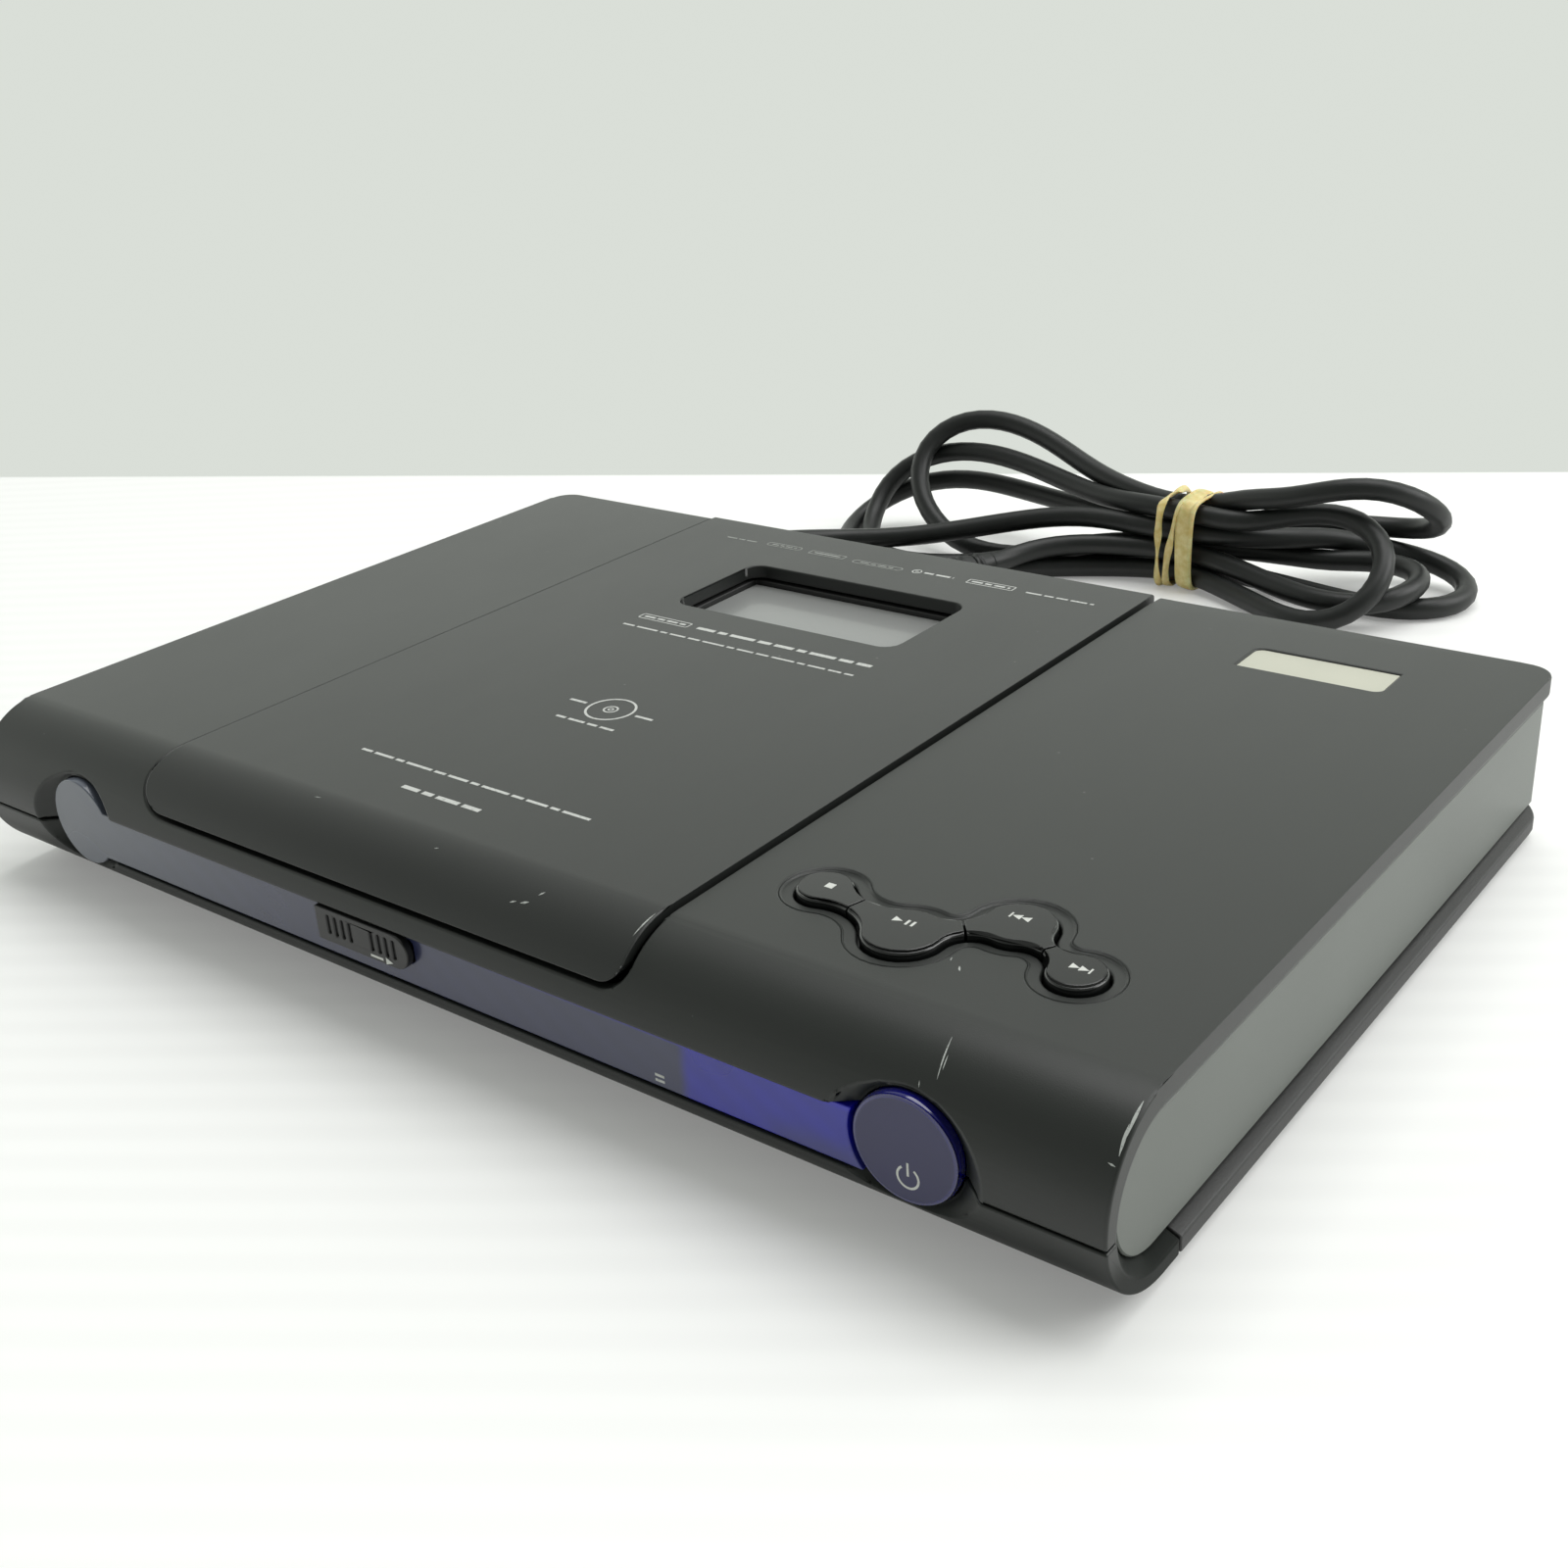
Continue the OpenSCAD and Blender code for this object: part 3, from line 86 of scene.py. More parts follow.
def addCamera():
    right, down, forward = cameraAxes(shot["azimuth"], shot["elevation"], shot["roll"])
    data = bpy.data.cameras.new("shot")
    data.lens, data.sensor_width = shot["lens"], shot["sensor"]
    data.clip_start, data.clip_end = 0.01, 40
    camera = bpy.data.objects.new("shot", data)
    scene.collection.objects.link(camera)
    turn = Matrix(np.column_stack([right, -down, -forward]).tolist()).to_4x4()
    camera.matrix_world = Matrix.Translation(shot["place"]) @ turn
    scene.camera = camera


addCamera()
print("camera placed")


class Wire:
    # one output of a shader node; sums, differences and products with it add Math nodes
    def __init__(self, finish, socket):
        self.finish, self.socket = finish, socket

    def math(self, operation, first, second=0.0):
        return self.finish.add("ShaderNodeMath", {"operation": operation}, {0: first, 1: second})

    def __add__(self, other):
        return self.math("ADD", self, other)

    def __radd__(self, other):
        return self.math("ADD", other, self)

    def __sub__(self, other):
        return self.math("SUBTRACT", self, other)

    def __rsub__(self, other):
        return self.math("SUBTRACT", other, self)

    def __mul__(self, other):
        return self.math("MULTIPLY", self, other)

    def __rmul__(self, other):
        return self.math("MULTIPLY", other, self)

    def sine(self):
        return self.math("SINE", self)

    def root(self):
        return self.math("SQRT", self)

    def larger(self, other):
        return self.math("MAXIMUM", self, other)

    def ramp(self, low, high, start=0.0, end=1.0):
        # smooth step from start, below low, to end, above high
        return self.finish.add("ShaderNodeMapRange", {"interpolation_type": "SMOOTHSTEP"},
                               {0: self, 1: low, 2: high, 3: start, 4: end})


class Finish:
    # the node tree of a material or the world, under construction
    def __init__(self, name, owner=None, coords="Object"):
        self.owner = owner or bpy.data.materials.new(name)
        self.owner.use_nodes = True
        self.tree = self.owner.node_tree
        self.tree.nodes.clear()
        self.coords = self.add("ShaderNodeTexCoord", out=coords)

    def add(self, kind, settings=None, values=None, out=0):
        # a node: its settings first, then the values or links of its sockets; returns one output
        node = self.tree.nodes.new(kind)
        for key, value in (settings or {}).items():
            setattr(node, key, value)
        for key, value in (values or {}).items():
            if isinstance(value, Wire):
                self.tree.links.new(value.socket, node.inputs[key])
            else:
                node.inputs[key].default_value = value
        return Wire(self, node.outputs[out]) if len(node.outputs) else node

    def axis(self, letter):
        # one coordinate, in metres
        return self.add("ShaderNodeSeparateXYZ", values={0: self.coords}, out=letter)

    def moved(self, scale=(1, 1, 1), turn=(0, 0, 0)):
        # coordinates stretched and turned, for patterns that run one way
        return self.add("ShaderNodeMapping", values={"Vector": self.coords, "Scale": scale, "Rotation": turn})

    def noise(self, scale, detail=3.0, roughness=0.5, at=None):
        return self.add("ShaderNodeTexNoise", values={"Vector": at or self.coords, "Scale": scale,
                                                      "Detail": detail, "Roughness": roughness})

    def blend(self, factor, first, second):
        # colours mixed by factor
        return self.add("ShaderNodeMix", {"data_type": "RGBA"},
                        {0: factor, 6: solid(first), 7: solid(second)}, out=2)

    def mix(self, factor, first, second):
        # shaders mixed by factor
        return self.add("ShaderNodeMixShader", values={0: factor, 1: first, 2: second})

    def bump(self, height, distance, strength=1.0):
        return self.add("ShaderNodeBump", values={"Height": height, "Distance": distance, "Strength": strength})

    def close(self, shader, kind="ShaderNodeOutputMaterial"):
        self.add(kind, values={0: shader})
        return self.owner

    def shade(self, values):
        return self.close(self.add("ShaderNodeBsdfPrincipled",
                                   values={k: solid(v) if "Color" in k else v for k, v in values.items()}))


def solid(colour):
    return colour if isinstance(colour, Wire) else (*colour, 1)


def grey(value):
    return (value, value, value)


def scaled(colour, factor):
    return tuple(c * factor for c in colour)


moulding = {
    # what all moulded plastics have in common: pattern scales, then grey levels and shares
    "clouds": 14, "smears": 90, "marks": 260, "dust": 230,
    "markGrey": 0.16, "markShare": 0.12,
    "dustGrey": 0.30, "dustBare": 0.82,  # share of the dust's cells that stay empty
    # specular level of the painted shade low on the bezel
    "shadeGloss": 0.06,
}


def specks(finish, scale, bare):
    # small dust specks: cells of a Voronoi pattern whose random shade is above bare, near their middles
    values = {"Vector": finish.coords, "Scale": scale}
    middle = finish.add("ShaderNodeTexVoronoi", values=values)
    shade = finish.add("ShaderNodeTexVoronoi", values=values, out="Color")
    return middle.ramp(0.03, 0.08, 1, 0) * shade.ramp(bare, bare + 0.02)


def mouldedPlastic(name, colour, roughness=0.4, grain=0.6, grainSize=0.00022, cloud=0.08, scuffs=0.3, coat=0.0,
                   dusty=0.0, under=None):
    # colour drifts by slow noise; roughness is the base plus cloud and thin smears; fine noise is the moulded grain;
    # under gives two heights, below which painted shade takes most of the skin's reflection away
    finish, m = Finish(name), moulding
    slow = finish.noise(m["clouds"], 2)
    smear = finish.noise(m["smears"], 4, 0.6, finish.moved((1, 0.35, 1), (0, 0, 0.5)))
    fine = finish.noise(1 / grainSize, 2, 0.6)
    marks = finish.noise(m["marks"], 3, 0.7, finish.moved((0.25, 2.2, 1), (0, 0, 0.9))).ramp(0.70, 0.78)
    tone = finish.blend(slow.ramp(0.3, 0.7), scaled(colour, 1 - cloud), scaled(colour, 1 + cloud))
    tone = finish.blend(marks * (m["markShare"] * scuffs), tone, grey(m["markGrey"]))
    if dusty:
        tone = finish.blend(specks(finish, m["dust"], m["dustBare"]) * dusty, tone, grey(m["dustGrey"]))
    rough = roughness + (slow - 0.5) * 0.06 + (smear - 0.5) * (0.12 * scuffs) + (fine - 0.5) * 0.08
    values = {"Base Color": solid(tone), "Roughness": rough, "IOR": 1.49, "Coat Weight": coat,
              "Coat Roughness": 0.06, "Normal": finish.bump(fine, grainSize * 0.12, grain)}
    skin = finish.add("ShaderNodeBsdfPrincipled", values=values)
    # painted shade: below the heights in under, most of the skin's reflection is taken away so the surface reads dark
    if under:
        paintedShade = finish.add("ShaderNodeBsdfPrincipled", values={**values, "Specular IOR Level": m["shadeGloss"]})
        skin = finish.mix(finish.axis("Z").ramp(*under), paintedShade, skin)
    return finish.close(skin)


def metal(name, colour, roughness=0.3, brush=0.0, direction=(1, 60, 60), tarnish=0.12):
    # brushed lines are noise stretched along one axis; tarnish darkens and dulls in slow patches
    finish = Finish(name)
    lines = finish.noise(40, 4, 0.7, finish.moved(direction))
    patches = finish.noise(60, 4, 0.6).ramp(0.42, 0.72)
    tone = finish.blend(patches * tarnish, colour, scaled(colour, 0.45))
    tone = finish.blend(lines.ramp(0.3, 0.7) * (0.5 * brush), tone, scaled(colour, 0.72))
    rough = roughness + patches * 0.12 + (lines - 0.5) * (0.25 * brush)
    return finish.shade({"Base Color": tone, "Metallic": 1.0, "Roughness": rough,
                         "Normal": finish.bump(lines, 0.00003, 0.25 + 0.5 * brush)})


def platePaint(name):
    # pale champagne paint with a fine satin grain and a slow cloud, a little metal in it
    finish = Finish(name)
    cloud = finish.noise(60, 3).ramp(0.3, 0.7)
    fine = finish.noise(2600, 3)
    tone = finish.blend(cloud * 0.5, (0.50, 0.50, 0.42), (0.56, 0.55, 0.46))
    return finish.shade({"Base Color": tone, "Metallic": 0.25, "Roughness": 0.34 + fine * 0.1,
                         "Normal": finish.bump(fine, 0.00002, 0.4)})


def rubber(name, colour, roughness=0.62):
    # dull skin: fine noise bump, dust lighter in slow patches
    finish = Finish(name)
    dust = finish.noise(120, 5, 0.65).ramp(0.45, 0.75)
    fine = finish.noise(2600, 3)
    tone = finish.blend(dust * 0.35, colour, scaled(colour, 2.2))
    return finish.shade({"Base Color": tone, "Roughness": roughness + dust * 0.12, "IOR": 1.5,
                         "Normal": finish.bump(fine, 0.00003, 0.5)})


def circuitBoard(name, colour, copper):
    # tracks: near the edges of a cell pattern the copper shows through the lacquer
    finish = Finish(name)
    cells = finish.add("ShaderNodeTexVoronoi", {"feature": "DISTANCE_TO_EDGE"},
                       {"Vector": finish.moved((1, 1, 1), (0, 0, 0.785)), "Scale": 210})
    track = cells.ramp(0.05, 0.11, 1, 0)
    weave = finish.noise(1400, 2)
    tone = finish.blend(track * 0.65, colour, copper)
    tone = finish.blend(weave.ramp(0.35, 0.65) * 0.2, tone, scaled(colour, 0.6))
    return finish.shade({"Base Color": tone, "Roughness": 0.38 + weave * 0.1, "Coat Weight": 0.3,
                         "Coat Roughness": 0.2, "Normal": finish.bump(track, 0.00004, 0.6)})


tint = {
    "veil": (0.020, 0.024, 0.062), "veilPale": (0.026, 0.031, 0.085),  # the strip left of the lamp window
    "floorReflection": (0.120, 0.135, 0.158),  # its left end, a painted reflection of the white floor
    "glow": (0.006, 0.007, 0.25), "glowPale": (0.012, 0.014, 0.36),  # its saturated right end
    "edge": (0.006, 0.004, 0.42),  # its upper edge
    # where one colour turns into the next, in metres, first along X and then in height
    "reflectionEnds": (-0.14, -0.02), "glowStarts": (0.0610, 0.0640), "footStarts": (0.074, 0.088),
    "footEnds": (0.0140, 0.0185), "edgeStarts": (0.0226, 0.0236),
    "bands": 700,  # slanting bands, radians a metre
    "face": (0.013, 0.013, 0.068), "rim": (0.004, 0.004, 0.12),  # power button
}


def stripLens(name):
    # tinted plastic: soft slanting bands are the sine of a slope in X and Z; a pale painted reflection of the white
    # floor over the left end, a stronger blue at the right one, which is greyer at its foot; deepest along the upper
    # edge
    finish = Finish(name)
    x, z = finish.axis("X"), finish.axis("Z")
    slant = (x + z * 1.5 + finish.noise(40, 2) * 0.004) * tint["bands"]
    band = slant.sine() * 0.5 + 0.5
    slow = finish.noise(26, 2).ramp(0.35, 0.65)
    veil = finish.blend(band * 0.35 + slow * 0.4, tint["veil"], tint["veilPale"])
    # painted reflection: the pale sheen of the white floor laid over the left end
    veil = finish.blend(x.ramp(*tint["reflectionEnds"], 0.85, 0), veil, tint["floorReflection"])
    glow = finish.blend(band * 0.3 + slow * 0.4, tint["glow"], tint["glowPale"])
    foot = z.ramp(*tint["footEnds"], 0.55, 0) * x.ramp(*tint["footStarts"])
    glow = finish.blend(foot, glow, tint["veilPale"])
    tone = finish.blend(x.ramp(*tint["glowStarts"]), veil, glow)
    edge = z.ramp(*tint["edgeStarts"]) * x.ramp(0.0, 0.07)
    tone = finish.blend(edge * 0.9, tone, tint["edge"])
    return finish.shade({"Base Color": tone, "Roughness": 0.24 + slow * 0.06, "IOR": 1.5, "Coat Weight": 0.35,
                         "Coat Roughness": 0.06,
                         "Normal": finish.bump(finish.noise(420, 3), 0.00003, 0.12)})


def buttonGloss(name, centre, radius):
    # muted indigo face, deeper and glossier beyond the radius round its centre in X and Z
    finish = Finish(name)
    x, z = finish.axis("X") - centre[0], finish.axis("Z") - centre[1]
    rim = (x * x + z * z).root().ramp(radius - 0.0003, radius)
    fine = finish.noise(1800, 3)
    cloud = finish.noise(90, 3).ramp(0.3, 0.7)
    tone = finish.blend(cloud * 0.3, tint["face"], scaled(tint["face"], 1.3))
    tone = finish.blend(rim, tone, tint["rim"])
    return finish.shade({"Base Color": tone, "Roughness": 0.32 - rim * 0.22 + fine * 0.04, "IOR": 1.5,
                         "Coat Weight": 0.25 + rim * 0.6, "Coat Roughness": 0.04,
                         "Normal": finish.bump(fine, 0.00001, 0.3)})


def displayPane(name):
    # smoked pane over a pale panel: a slow tone, a little darker to the front
    finish = Finish(name)
    y = finish.axis("Y")
    grain = finish.noise(900, 3)
    tone = finish.blend(y.ramp(0.040, 0.066), (0.215, 0.222, 0.218), (0.245, 0.250, 0.245))
    tone = finish.blend(grain.ramp(0.4, 0.6) * 0.12, tone, grey(0.28))
    return finish.shade({"Base Color": tone, "Roughness": 0.28 + grain * 0.06, "Coat Weight": 0.2,
                         "Coat Roughness": 0.06, "Normal": finish.bump(grain, 0.00002, 0.12)})


def printInk(name, colour, worn=0.5):
    # screen print: worn patches let the dark plastic show
    finish = Finish(name)
    wear = finish.noise(1500, 4, 0.7).ramp(0.54, 0.66) * worn
    tone = finish.blend(wear, colour, scaled(colour, 0.25))
    return finish.shade({"Base Color": tone, "Roughness": 0.45 + wear * 0.2,
                         "Normal": finish.bump(finish.noise(2500, 2), 0.00001, 0.3)})


def cordSkin(name):
    # smooth flexible sheath, a little dusty, with slow waves of gloss
    finish = Finish(name)
    dust = finish.noise(150, 5, 0.6).ramp(0.5, 0.8)
    waves = finish.noise(45, 2)
    tone = finish.blend(dust * 0.2, (0.0062, 0.0078, 0.0070), grey(0.026))
    return finish.shade({"Base Color": tone, "Roughness": 0.38 + waves * 0.16 + dust * 0.1, "IOR": 1.47,
                         "Normal": finish.bump(finish.noise(900, 3), 0.00004, 0.25)})


def bandSkin(name):
    # amber rubber: cloudy colour, faint lengthwise ridges, a little light through it
    finish = Finish(name)
    cloud = finish.noise(320, 4, 0.6)
    ridge = finish.noise(1700, 2, 0.5, finish.moved((2.4, 0.5, 0.5)))
    tone = finish.blend(cloud.ramp(0.3, 0.7), (0.60, 0.47, 0.16), (0.74, 0.64, 0.32))
    return finish.shade({"Base Color": tone, "Roughness": 0.42 + cloud * 0.15, "Subsurface Weight": 0.25,
                         "Subsurface Scale": 0.002, "Normal": finish.bump(ridge, 0.00006, 0.6)})


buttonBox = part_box("power_button")
buttonCentre = ((buttonBox[0].x + buttonBox[1].x) / 2, (buttonBox[0].z + buttonBox[1].z) / 2)
buttonRadius = (buttonBox[1].x - buttonBox[0].x) / 2

finishes = {
    "shell": mouldedPlastic("shell_plastic", (0.0125, 0.0145, 0.0130), 0.40, dusty=0.25),
    # painted shade on the bezel: below 9.5 to 17.5 mm its reflection is mostly taken away, so its lower front reads
    # dark
    "bezel": mouldedPlastic("bezel_plastic_painted_shade", (0.0125, 0.0145, 0.0130), 0.40, dusty=0.25, under=(0.0095, 0.0175)),
    # painted sheen: the side panels' grey is raised far above the shell's, standing for the bright floor and
    # right-hand light that they mirror
    "panel": mouldedPlastic("panel_painted_sheen", (0.120, 0.131, 0.119), 0.45, dusty=0.1),
    "lid": mouldedPlastic("lid_plastic", (0.0125, 0.0140, 0.0130), 0.41, dusty=0.35),
    "base": mouldedPlastic("base_plastic", grey(0.020), 0.46, 0.9, 0.0004),
    "deck": mouldedPlastic("deck_plastic", grey(0.014), 0.5, 0.9, 0.0004),
    "key": mouldedPlastic("key_plastic", (0.0065, 0.0072, 0.0070), 0.20, 0.1, 0.0005, 0.05, 0.2, 0.35),
    "slider": mouldedPlastic("slider_plastic", grey(0.012), 0.34, 0.4, 0.0003, 0.05, 0.2),
    "platter": mouldedPlastic("platter_plastic", grey(0.016), 0.42, 0.5),
    "sled": mouldedPlastic("sled_plastic", grey(0.055), 0.45, 0.6, 0.0004),
    "chip": mouldedPlastic("chip_resin", grey(0.016), 0.5, 0.8, 0.0003),
    "power": buttonGloss("power_plastic", buttonCentre, buttonRadius - 0.0006),
    "strip": stripLens("strip_lens"),
    "pane": displayPane("display_pane"),
    "displayBody": mouldedPlastic("display_body", grey(0.08), 0.5, 0.6),
    "plate": platePaint("plate_paint"),
    "steel": metal("bright_steel", grey(0.62), 0.22, 0.3),
    "sheet": metal("sheet_steel", grey(0.5), 0.42, 0.5, (1, 40, 40), 0.3),
    "nickel": metal("nickel", (0.66, 0.64, 0.60), 0.2, 0.1),
    "alloy": metal("cast_alloy", grey(0.58), 0.4, 0.4),
    "brass": metal("blade_brass", (0.72, 0.62, 0.38), 0.25, 0.3),
    "mount": rubber("mount_rubber", grey(0.03)),
    "foot": rubber("foot_rubber", grey(0.018), 0.7),
    "greenBoard": circuitBoard("green_board", (0.015, 0.09, 0.03), (0.10, 0.20, 0.06)),
    "tanBoard": circuitBoard("tan_board", (0.36, 0.22, 0.10), (0.42, 0.30, 0.12)),
    "coil": mouldedPlastic("coil_tape", (0.55, 0.42, 0.06), 0.4, 0.5),
    "part": mouldedPlastic("component_case", (0.02, 0.024, 0.035), 0.35, 0.4),
    "yellow": mouldedPlastic("socket_yellow", (0.75, 0.50, 0.03), 0.35, 0.4),
    "white": mouldedPlastic("socket_white", grey(0.72), 0.35, 0.4),
    "red": mouldedPlastic("socket_red", (0.50, 0.015, 0.015), 0.35, 0.4),
    "green": mouldedPlastic("socket_green", (0.02, 0.26, 0.06), 0.35, 0.4),
    "blue": mouldedPlastic("socket_blue", (0.02, 0.07, 0.42), 0.35, 0.4),
    "black": mouldedPlastic("socket_black", grey(0.02), 0.35, 0.4),
    "lens": mouldedPlastic("lens_optic", (0.08, 0.12, 0.22), 0.05, 0.0, 0.0005, 0.1, 0.0, 1.0),
    "cord": cordSkin("cord_skin"),
    "band": bandSkin("band_skin"),
    "ink": printInk("pale_ink", (0.50, 0.51, 0.49)),
    "faintInk": printInk("faint_ink", (0.24, 0.25, 0.235), 0.7),
    "keyInk": printInk("key_ink", (0.60, 0.61, 0.58), 0.2),
    # grey for scuffs, and for the painted highlight along the cover's right-hand edge
    "scuffAndGlint": printInk("scuff_and_glint_grey", (0.42, 0.44, 0.42), 0.7),
}
print("finishes made:", len(finishes))


def place(name, mesh, finish, body, smooth=30.0):
    mesh.validate()
    mesh.materials.clear()
    mesh.materials.append(finishes[finish])
    mesh.polygons.foreach_set("use_smooth", np.ones(len(mesh.polygons), bool))
    if smooth:
        mesh.set_sharp_from_angle(angle=math.radians(smooth))
    piece = bpy.data.objects.new(name, mesh)
    scene.collection.objects.link(piece)
    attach(piece, body)
    return piece


def meshPiece(name, points, faces, finish, body, smooth=30.0):
    mesh = bpy.data.meshes.new(name)
    mesh.from_pydata(np.asarray(points, float).reshape(-1, 3).tolist(), [], faces)
    return place(name, mesh, finish, body, smooth)


def ringedFaces(rings, around, start=0):
    # quads between rings of points, closed both round each ring and from the last ring to the first
    i, j = np.arange(rings)[:, None], np.arange(around)[None, :]
    nextI, nextJ = (i + 1) % rings, (j + 1) % around
    quads = np.stack([i * around + j, i * around + nextJ, nextI * around + nextJ, nextI * around + j], -1)
    return (quads.reshape(-1, 4) + start).tolist()


def bodyOf(node):
    return frame["nodes"][node]["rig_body"]


lead = {
    "radius": 0.003,
    "tie": (5, 202),  # millimetres: where the rubber band holds the turns
    "step": 4,
    "gap": 6.15,  # strands lie this far apart
    "bend": 17,  # folds are eased towards this radius
    "rounds": 260,
    "fixed": (9, 4),  # points at each end that stay where they are
    "neighbours": 5,  # points this near along the lead don't push each other
    # share of each move that a round makes
    "push": 0.9, "even": 0.5, "open": 0.35, "home": 0.06, "pull": 0.25,
    "low": 3.05,  # the lead's middle line lies no lower
    "held": 5, "heldY": 6.3, "heldZ": (4.2, 22.9),  # reach of the band along X, and its room for the turns
    # Y and Z of the eight passes under the band
    "passes": {"a": (198.8, 4.2), "b": (205.2, 4.2), "c": (198.8, 10.3), "d": (205.2, 10.3),
               "e": (198.8, 16.4), "f": (205.2, 16.4), "g": (198.8, 22.4), "h": (205.2, 22.4)},
    "tail": [(-105, 95, 15), (-105, 108, 15), (-105, 121, 15), (-105.2, 129, 14.8), (-105.6, 138, 13.9),
             (-105, 147, 12.2), (-102, 155.5, 10.6), (-96.5, 162.5, 9.6), (-88, 168.5, 9.4), (-77, 174.5, 9.6),
             (-66, 181, 11), (-53, 187.5, 13.3), (-37, 194.5, 16), (-20, 198.5, 17.3), (-8, 199.3, 16.8)],
    # each turn goes from the pass before it to the pass named at its end
    "turns": [
        ([(20, 204, 15.6), (33, 212, 14), (48, 224, 11), (60, 231.5, 8), (71, 232, 5.6), (79, 225.5, 4),
          (81, 216, 3.1), (77, 206, 3.1), (67, 200.5, 3.1), (54, 200.5, 3.1), (36, 204, 3.1), (20, 206, 3.4)], "b"),
        ([(-12, 204.5, 3.4), (-28, 200, 3.1), (-42, 194, 3.1), (-54, 189.5, 3.3), (-65, 190, 5), (-75, 193, 8),
          (-83.5, 197.5, 13), (-89.5, 203, 19), (-91.5, 209, 26), (-87.5, 215, 32), (-78, 219.5, 35.5),
          (-66, 221, 35), (-52, 219.5, 32), (-37, 214.5, 27.5), (-21, 209, 24), (-7, 205.8, 22.6)], "h"),
        ([(20, 203, 25), (34, 200, 29), (46, 200.5, 33.2), (55, 203, 35.3), (63.5, 205.5, 34), (69.5, 210.5, 30.5),
          (71.5, 218, 25), (69.5, 225.5, 19.8), (63, 231, 16.4), (54, 232.5, 15.2), (43, 229.5, 15.3),
          (32, 221, 16), (20, 212.5, 16.2)], "f"),
        ([(-12, 207.5, 15.3), (-28, 212, 14.3), (-46, 216.5, 14), (-65, 219.5, 14.8), (-82, 219.5, 15.5),
          (-96, 214.5, 13.5), (-105.5, 207, 9.5), (-109, 198, 5.5), (-106, 187, 3.4), (-99.5, 175.5, 3.1),
          (-89, 167, 3.1), (-76, 163.5, 3.1), (-63, 166, 3.1), (-54, 173, 3.1), (-45, 179.5, 3.1),
          (-35, 186.5, 3.1), (-22, 193.5, 3.1), (-8, 198, 3.5)], "a"),
        ([(20, 193, 3.5), (34, 186.5, 3.2), (47, 180, 3.2), (57, 179, 4), (64.5, 183.5, 8), (67, 190, 14),
          (64.5, 197, 20), (57.5, 202.5, 24.3), (47, 204.8, 25.8), (34, 203.5, 24.5), (20, 200, 22.6)], "g"),
        ([(-8, 200.5, 22), (-24, 205, 21.5), (-42, 211, 22.5), (-60, 215.5, 25), (-78, 216, 26), (-92, 213.5, 23.5),
          (-101, 208.5, 18.5), (-104, 202, 11.5), (-102, 194, 5.5), (-97, 185.5, 3.3), (-90, 178, 3.1),
          (-80, 172.5, 3.1), (-68, 173, 3.1), (-57, 179, 3.1), (-47, 184.8, 3.1), (-37, 191, 5.5),
          (-25, 197.5, 8.3), (-10, 203, 9.8)], "d"),
        ([(20, 209.5, 9.8), (36, 215.5, 9.3), (48, 219, 9.3), (60, 218.5, 9.2), (69.5, 213, 9.1), (73, 203.5, 8.9),
          (69, 193.5, 8.2), (60, 187.8, 7.4), (48, 188.5, 7), (34, 193, 7.4), (20, 197, 9)], "c"),
    ],
    "end": [(-12, 196.5, 10.3), (-24, 192.5, 10), (-33, 187.5, 9.3), (-38.5, 181, 8.4), (-41.3, 175.2, 7.8),
            (-43, 170.5, 7.8), (-45, 165, 7.8)],
}


def smoothLine(points, count=24):
    # Catmull-Rom curve through the points
    p = np.asarray(points, float)
    q = np.vstack([2 * p[0] - p[1], p, 2 * p[-1] - p[-2]])
    t = np.linspace(0, 1, count, endpoint=False)[None, :, None]
    a, b, c, d = (q[k:len(p) - 1 + k, None] for k in range(4))
    line = 0.5 * (2 * b + (c - a) * t + (2 * a - 5 * b + 4 * c - d) * t ** 2 + (3 * b - a - 3 * c + d) * t ** 3)
    return np.vstack([line.reshape(-1, 3), p[-1:]])


def evenLine(points, step):
    # the same line with points step apart
    run = np.r_[0, np.cumsum(np.linalg.norm(np.diff(points, axis=0), axis=1))]
    at = np.linspace(0, run[-1], int(round(run[-1] / step)) + 1)
    return np.stack([np.interp(at, run, points[:, k]) for k in range(3)], 1)


